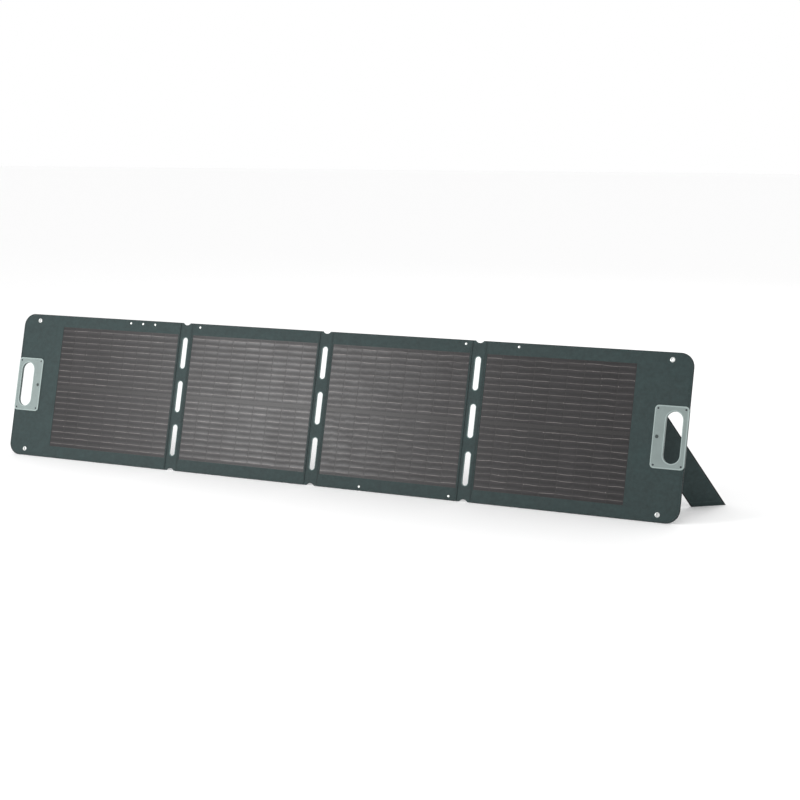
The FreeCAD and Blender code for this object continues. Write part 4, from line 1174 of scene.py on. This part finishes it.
def make_stand_cover(side):
    """Cloth cover of a leg: bound long edges, a stitched hem above the foot and stitched sides."""
    placement = leg_placement(side)
    slope = math.cos(HINGE_SLANT) / math.sin(HINGE_SLANT)
    half = LEG_WIDTH / 2.0
    width, down, centre = placement.col[0], placement.col[2], placement.col[3]
    start = LEG_START / math.sin(HINGE_SLANT)

    def foot(x):
        return (-centre[2] - x * width[2]) / down[2]

    past = 20.0 * MM
    loop = [(-half, start + half * slope), (-half, foot(-half) + past), (half, foot(half) + past),
            (half, start - half * slope)]
    blank = Blank()
    blank.plate([loop], -LEG_THICKNESS / 2.0, LEG_THICKNESS / 2.0, 0.9 * MM)
    blank.split_columns([-half + LEG_BINDING, half - LEG_BINDING])
    bound, thread = 1, 2
    for face in blank.bm.faces:
        if abs(face.calc_center_median().x) > half - LEG_BINDING:
            face.material_index = bound
    rise = LEG_HEM / abs(down[2])
    reach = half - LEG_BINDING - 1.2 * MM
    for outward in (-1.0, 1.0):
        seams = [((x, start - x * slope + 34.0 * MM), (x, foot(x) - rise)) for x in (-reach, reach)]
        seams += [((-reach, foot(-reach) - lift), (reach, foot(reach) - lift))
                  for lift in (rise, rise + 3.0 * MM)]
        for top, end in seams:
            blank.stitches(top, end, outward * LEG_THICKNESS / 2.0, outward, material=thread)
    name = "leg_cover_" + side
    mesh = blank.finish(name, placement)
    trimmed = bmesh.new()
    trimmed.from_mesh(mesh)
    cut = bmesh.ops.bisect_plane(trimmed, geom=trimmed.verts[:] + trimmed.edges[:] + trimmed.faces[:],
                                 plane_co=(0.0, 0.0, 0.1 * MM), plane_no=(0.0, 0.0, -1.0), clear_outer=True)
    edges = [item for item in cut["geom_cut"] if isinstance(item, bmesh.types.BMEdge)]
    bmesh.ops.edgenet_fill(trimmed, edges=edges, mat_nr=bound)
    trimmed.to_mesh(mesh)
    trimmed.free()
    cloth = panel_cloth("stand_cloth", tuple(colours().stand), sizes().thread)
    binding = panel_cloth("binding_tape", display(9, 13, 14), sizes().thread * 0.6)
    piece = add_piece(name, mesh, [cloth, binding, sewing_thread("stand_thread", display(70, 84, 82))],
                      "stand_" + side)
    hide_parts("stand_cover_" + side)
    foot(0.0) - start


def finish_stand_fittings(side):
    """Hinge mouldings, pin, rivets and board of a stand."""
    plastic = moulded("hinge_plastic", display(34, 40, 41), 0.45, 0.7 * MM)
    steel = metal("pin_steel", display(176, 178, 178), 0.3, 0.3)
    for node in ("stand_hinge_base_", "stand_shoe_"):
        refinish(node + side, plastic)
        soften(node + side, 0.35 * MM)
    for node in ("stand_hinge_pin_", "stand_base_rivets_", "stand_shoe_rivets_"):
        refinish(node + side, steel)
        soften(node + side, 0.25 * MM)
    refinish("stand_board_" + side, fibre_board("stand_fibre", display(112, 106, 94), 0.2, 0.75))


def make_box_lid():
    """Junction box lid: raised panel with grip ribs inside a rounded rim."""
    left, right = BOX_X - BOX_LENGTH / 2.0, BOX_X + BOX_LENGTH / 2.0
    low, high = BOX_Z - BOX_WIDTH / 2.0, BOX_Z + BOX_WIDTH / 2.0

    def outline(inset, corner):
        return rounded_rectangle(left + inset, right - inset, low + inset, high - inset, corner, corner)

    places = [(x, z) for x in (left + BOX_SCREW_INSET, right - BOX_SCREW_INSET)
              for z in (low + BOX_SCREW_INSET, high - BOX_SCREW_INSET)]
    lid = Blank()
    holes = [circle(x, z, BOX_SCREW_HOLE) for x, z in places]
    lid.plate([outline(0.0, 5.0 * MM)] + holes, BOX_BACK, LID_BACK - 0.4 * MM, 0.6 * MM)
    below = LID_BACK - 1.0 * MM
    lid.plate([outline(12.5 * MM, 4.0 * MM), outline(14.5 * MM, 2.5 * MM)], below, LID_BACK, 0.3 * MM)
    for i in range(GRIP_RIBS):
        x = BOX_X + (i - GRIP_RIBS // 2) * GRIP_PITCH
        lid.plate([stadium(x, BOX_Z, 3.0 * MM, 26.0 * MM)], below, LID_BACK - 0.05 * MM, 0.3 * MM)
    for x, z in places:
        lid.plate([circle(x, z, 3.6 * MM), circle(x, z, BOX_SCREW_HOLE)], below, LID_BACK, 0.25 * MM)
    piece = lid.piece("box_lid", box_plastic(), "box_plastic", "segment_4")
    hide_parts("junction_box_lid")

    screws = Blank()
    for x, z in places:
        recessed_head(screws, x, z, 0.0, 2.4 * MM, 0.3 * MM, 1.2 * MM, 11.0 * MM)
    head_top = (0.0, LID_BACK + 1.3 * MM, 0.0)
    turn_round = axes_matrix((1.0, 0.0, 0.0), (0.0, -1.0, 0.0), (0.0, 0.0, 1.0), head_top)
    mesh = screws.finish("box_screws", PANEL_PLACEMENT @ turn_round, 30.0)
    mesh.flip_normals()
    piece = add_piece("box_screws", mesh, [screw_steel()], "segment_4")
    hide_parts("junction_box_screws")


def finish_box():
    """Tray, gasket, circuit board and socket of the junction box."""
    refinish("junction_box", box_plastic())
    soften("junction_box", 0.5 * MM)
    refinish("junction_box_gasket", rubber("gasket_rubber", display(26, 26, 26)))
    refinish("diode_board", circuit_lacquer())
    refinish("output_socket", moulded("socket_plastic", display(22, 24, 25), 0.35, 0.5 * MM))
    soften("output_socket", 0.3 * MM)


# ---- operators
class PieceOperator(bpy.types.Operator):
    """Shared base of the operators, which are meant for a scene that holds only the frame."""
    bl_options = {"REGISTER", "UNDO"}


class SOLARPANEL_OT_stage(PieceOperator):
    """Sets the pale floor, the soft light and the camera."""
    bl_idname = "solarpanel.stage"
    bl_label = "Stage"

    def execute(self, context):
        settings = context.scene.panel_stage
        mesh = bpy.data.meshes.new("floor")
        reach = 40.0
        corners = [(-reach, -reach, 0.0), (reach, -reach, 0.0), (reach, reach, 0.0), (-reach, reach, 0.0)]
        mesh.from_pydata(corners, [], [(0, 1, 2, 3)])
        floor = bpy.data.objects.new("floor", mesh)
        floor.location.z = -0.3 * MM
        context.scene.collection.objects.link(floor)
        paint = Paint("floor_paper", Roughness=0.9, Specular_IOR_Level=0.1)
        paint.shader.inputs["Base Color"].default_value = settings.floor
        mesh.materials.append(paint.material)

        world = bpy.data.worlds.new("studio")
        world.use_nodes = True
        glow = world.node_tree.nodes["Background"]
        glow.inputs["Color"].default_value = (1.0, 1.0, 1.0, 1.0)
        glow.inputs["Strength"].default_value = 1.0
        context.scene.world = world

        lights = [("key", (1.2, -4.6, 4.6), 3.2, 24.0), ("softbox", (-1.66, -2.62, 1.02), 0.7, 42.0),
                  ("back", (0.5, 4.5, 3.8), 3.0, 40.0)]
        aim = Vector((0.0, 0.0, 0.2))
        for name, place, size, power in lights:
            lamp = bpy.data.lights.new(name, "AREA")
            lamp.shape = "DISK"
            lamp.size = size
            lamp.energy = power
            holder = bpy.data.objects.new(name, lamp)
            holder.location = place
            holder.rotation_euler = (aim - Vector(place)).to_track_quat("-Z", "Y").to_euler()
            context.scene.collection.objects.link(holder)

        camera_data = bpy.data.cameras.new("camera")
        camera_data.lens = settings.lens
        camera_data.sensor_width = 36.0
        camera = bpy.data.objects.new("camera", camera_data)
        camera.location = settings.camera_place
        camera.rotation_euler = (math.pi / 2.0 - settings.pitch, 0.0, settings.yaw)
        context.scene.collection.objects.link(camera)
        context.scene.camera = camera
        context.scene.view_settings.view_transform = "Standard"
        return {"FINISHED"}


class SOLARPANEL_OT_cloth(PieceOperator):
    """Makes the front and back cloth of every segment, and finishes their boards."""
    bl_idname = "solarpanel.cloth"
    bl_label = "Cloth and boards"

    def execute(self, context):
        for number in SEGMENT_SPANS:
            make_face(number)
            make_back(number)
            make_stitching(number)
            refinish("core_board_%d" % number, fibre_board("core_fibre", display(40, 38, 38), 0.32, 0.34))
        return {"FINISHED"}


class SOLARPANEL_OT_cells(PieceOperator):
    """Makes the cells and their ribbons."""
    bl_idname = "solarpanel.cells"
    bl_label = "Cells and ribbons"

    def execute(self, context):
        for number in SEGMENT_SPANS:
            make_wafers(number)
            make_ribbons(number)
        return {"FINISHED"}


class SOLARPANEL_OT_folds(PieceOperator):
    """Makes the three fold bands."""
    bl_idname = "solarpanel.folds"
    bl_label = "Fold bands"

    def execute(self, context):
        for index in (1, 2, 3):
            make_fold(index)
        return {"FINISHED"}


class SOLARPANEL_OT_fasteners(PieceOperator):
    """Makes the edge rivets and the corner eyelets."""
    bl_idname = "solarpanel.fasteners"
    bl_label = "Rivets and eyelets"

    def execute(self, context):
        for number in SEGMENT_SPANS:
            make_edge_rivets(number)
        for side in SIDES:
            make_eyelets(side)
        return {"FINISHED"}


class SOLARPANEL_OT_handles(PieceOperator):
    """Makes the handles with their screws and studs."""
    bl_idname = "solarpanel.handles"
    bl_label = "Handles"

    def execute(self, context):
        for side in SIDES:
            make_handle(side)
            make_handle_fasteners(side)
        return {"FINISHED"}


class SOLARPANEL_OT_stands(PieceOperator):
    """Makes the covers of the two legs and finishes their fittings."""
    bl_idname = "solarpanel.stands"
    bl_label = "Stands"

    def execute(self, context):
        for side in SIDES:
            make_stand_cover(side)
            finish_stand_fittings(side)
        return {"FINISHED"}


class SOLARPANEL_OT_box(PieceOperator):
    """Makes the junction box's lid and screws and finishes what it holds."""
    bl_idname = "solarpanel.box"
    bl_label = "Junction box"

    def execute(self, context):
        make_box_lid()
        finish_box()
        return {"FINISHED"}


OPERATORS = (SOLARPANEL_OT_stage, SOLARPANEL_OT_cloth, SOLARPANEL_OT_cells, SOLARPANEL_OT_folds,
             SOLARPANEL_OT_fasteners, SOLARPANEL_OT_handles, SOLARPANEL_OT_stands, SOLARPANEL_OT_box)


class SOLARPANEL_PT_maker(bpy.types.Panel):
    """Lists the pieces in the order in which they are made."""
    bl_label = "Solar Panel"
    bl_idname = "SOLARPANEL_PT_maker"
    bl_space_type = "VIEW_3D"
    bl_region_type = "UI"
    bl_category = "Solar Panel"

    def draw(self, context):
        for group in (context.scene.panel_sizes, context.scene.panel_colours, context.scene.panel_stage):
            for name in group.__annotations__:
                self.layout.prop(group, name)
        for operator in OPERATORS:
            self.layout.operator(operator.bl_idname)


GROUPS = {"panel_colours": PanelColours, "panel_sizes": PanelSizes, "panel_stage": StageSettings}


def register():
    """Adds the classes and the scene's settings."""
    for group in GROUPS.values():
        bpy.utils.register_class(group)
    for name, group in GROUPS.items():
        setattr(bpy.types.Scene, name, bpy.props.PointerProperty(type=group))
    for item in OPERATORS + (SOLARPANEL_PT_maker,):
        bpy.utils.register_class(item)


def unregister():
    """Takes away what register added."""
    for item in reversed(OPERATORS + (SOLARPANEL_PT_maker,)):
        bpy.utils.unregister_class(item)
    for name, group in reversed(list(GROUPS.items())):
        delattr(bpy.types.Scene, name)
        bpy.utils.unregister_class(group)


def main():
    """Makes the whole panel in its stage."""
    register()
    for operator in OPERATORS:
        family, name = operator.bl_idname.split(".")
        getattr(getattr(bpy.ops, family), name)()


if __name__ == "__main__":
    main()
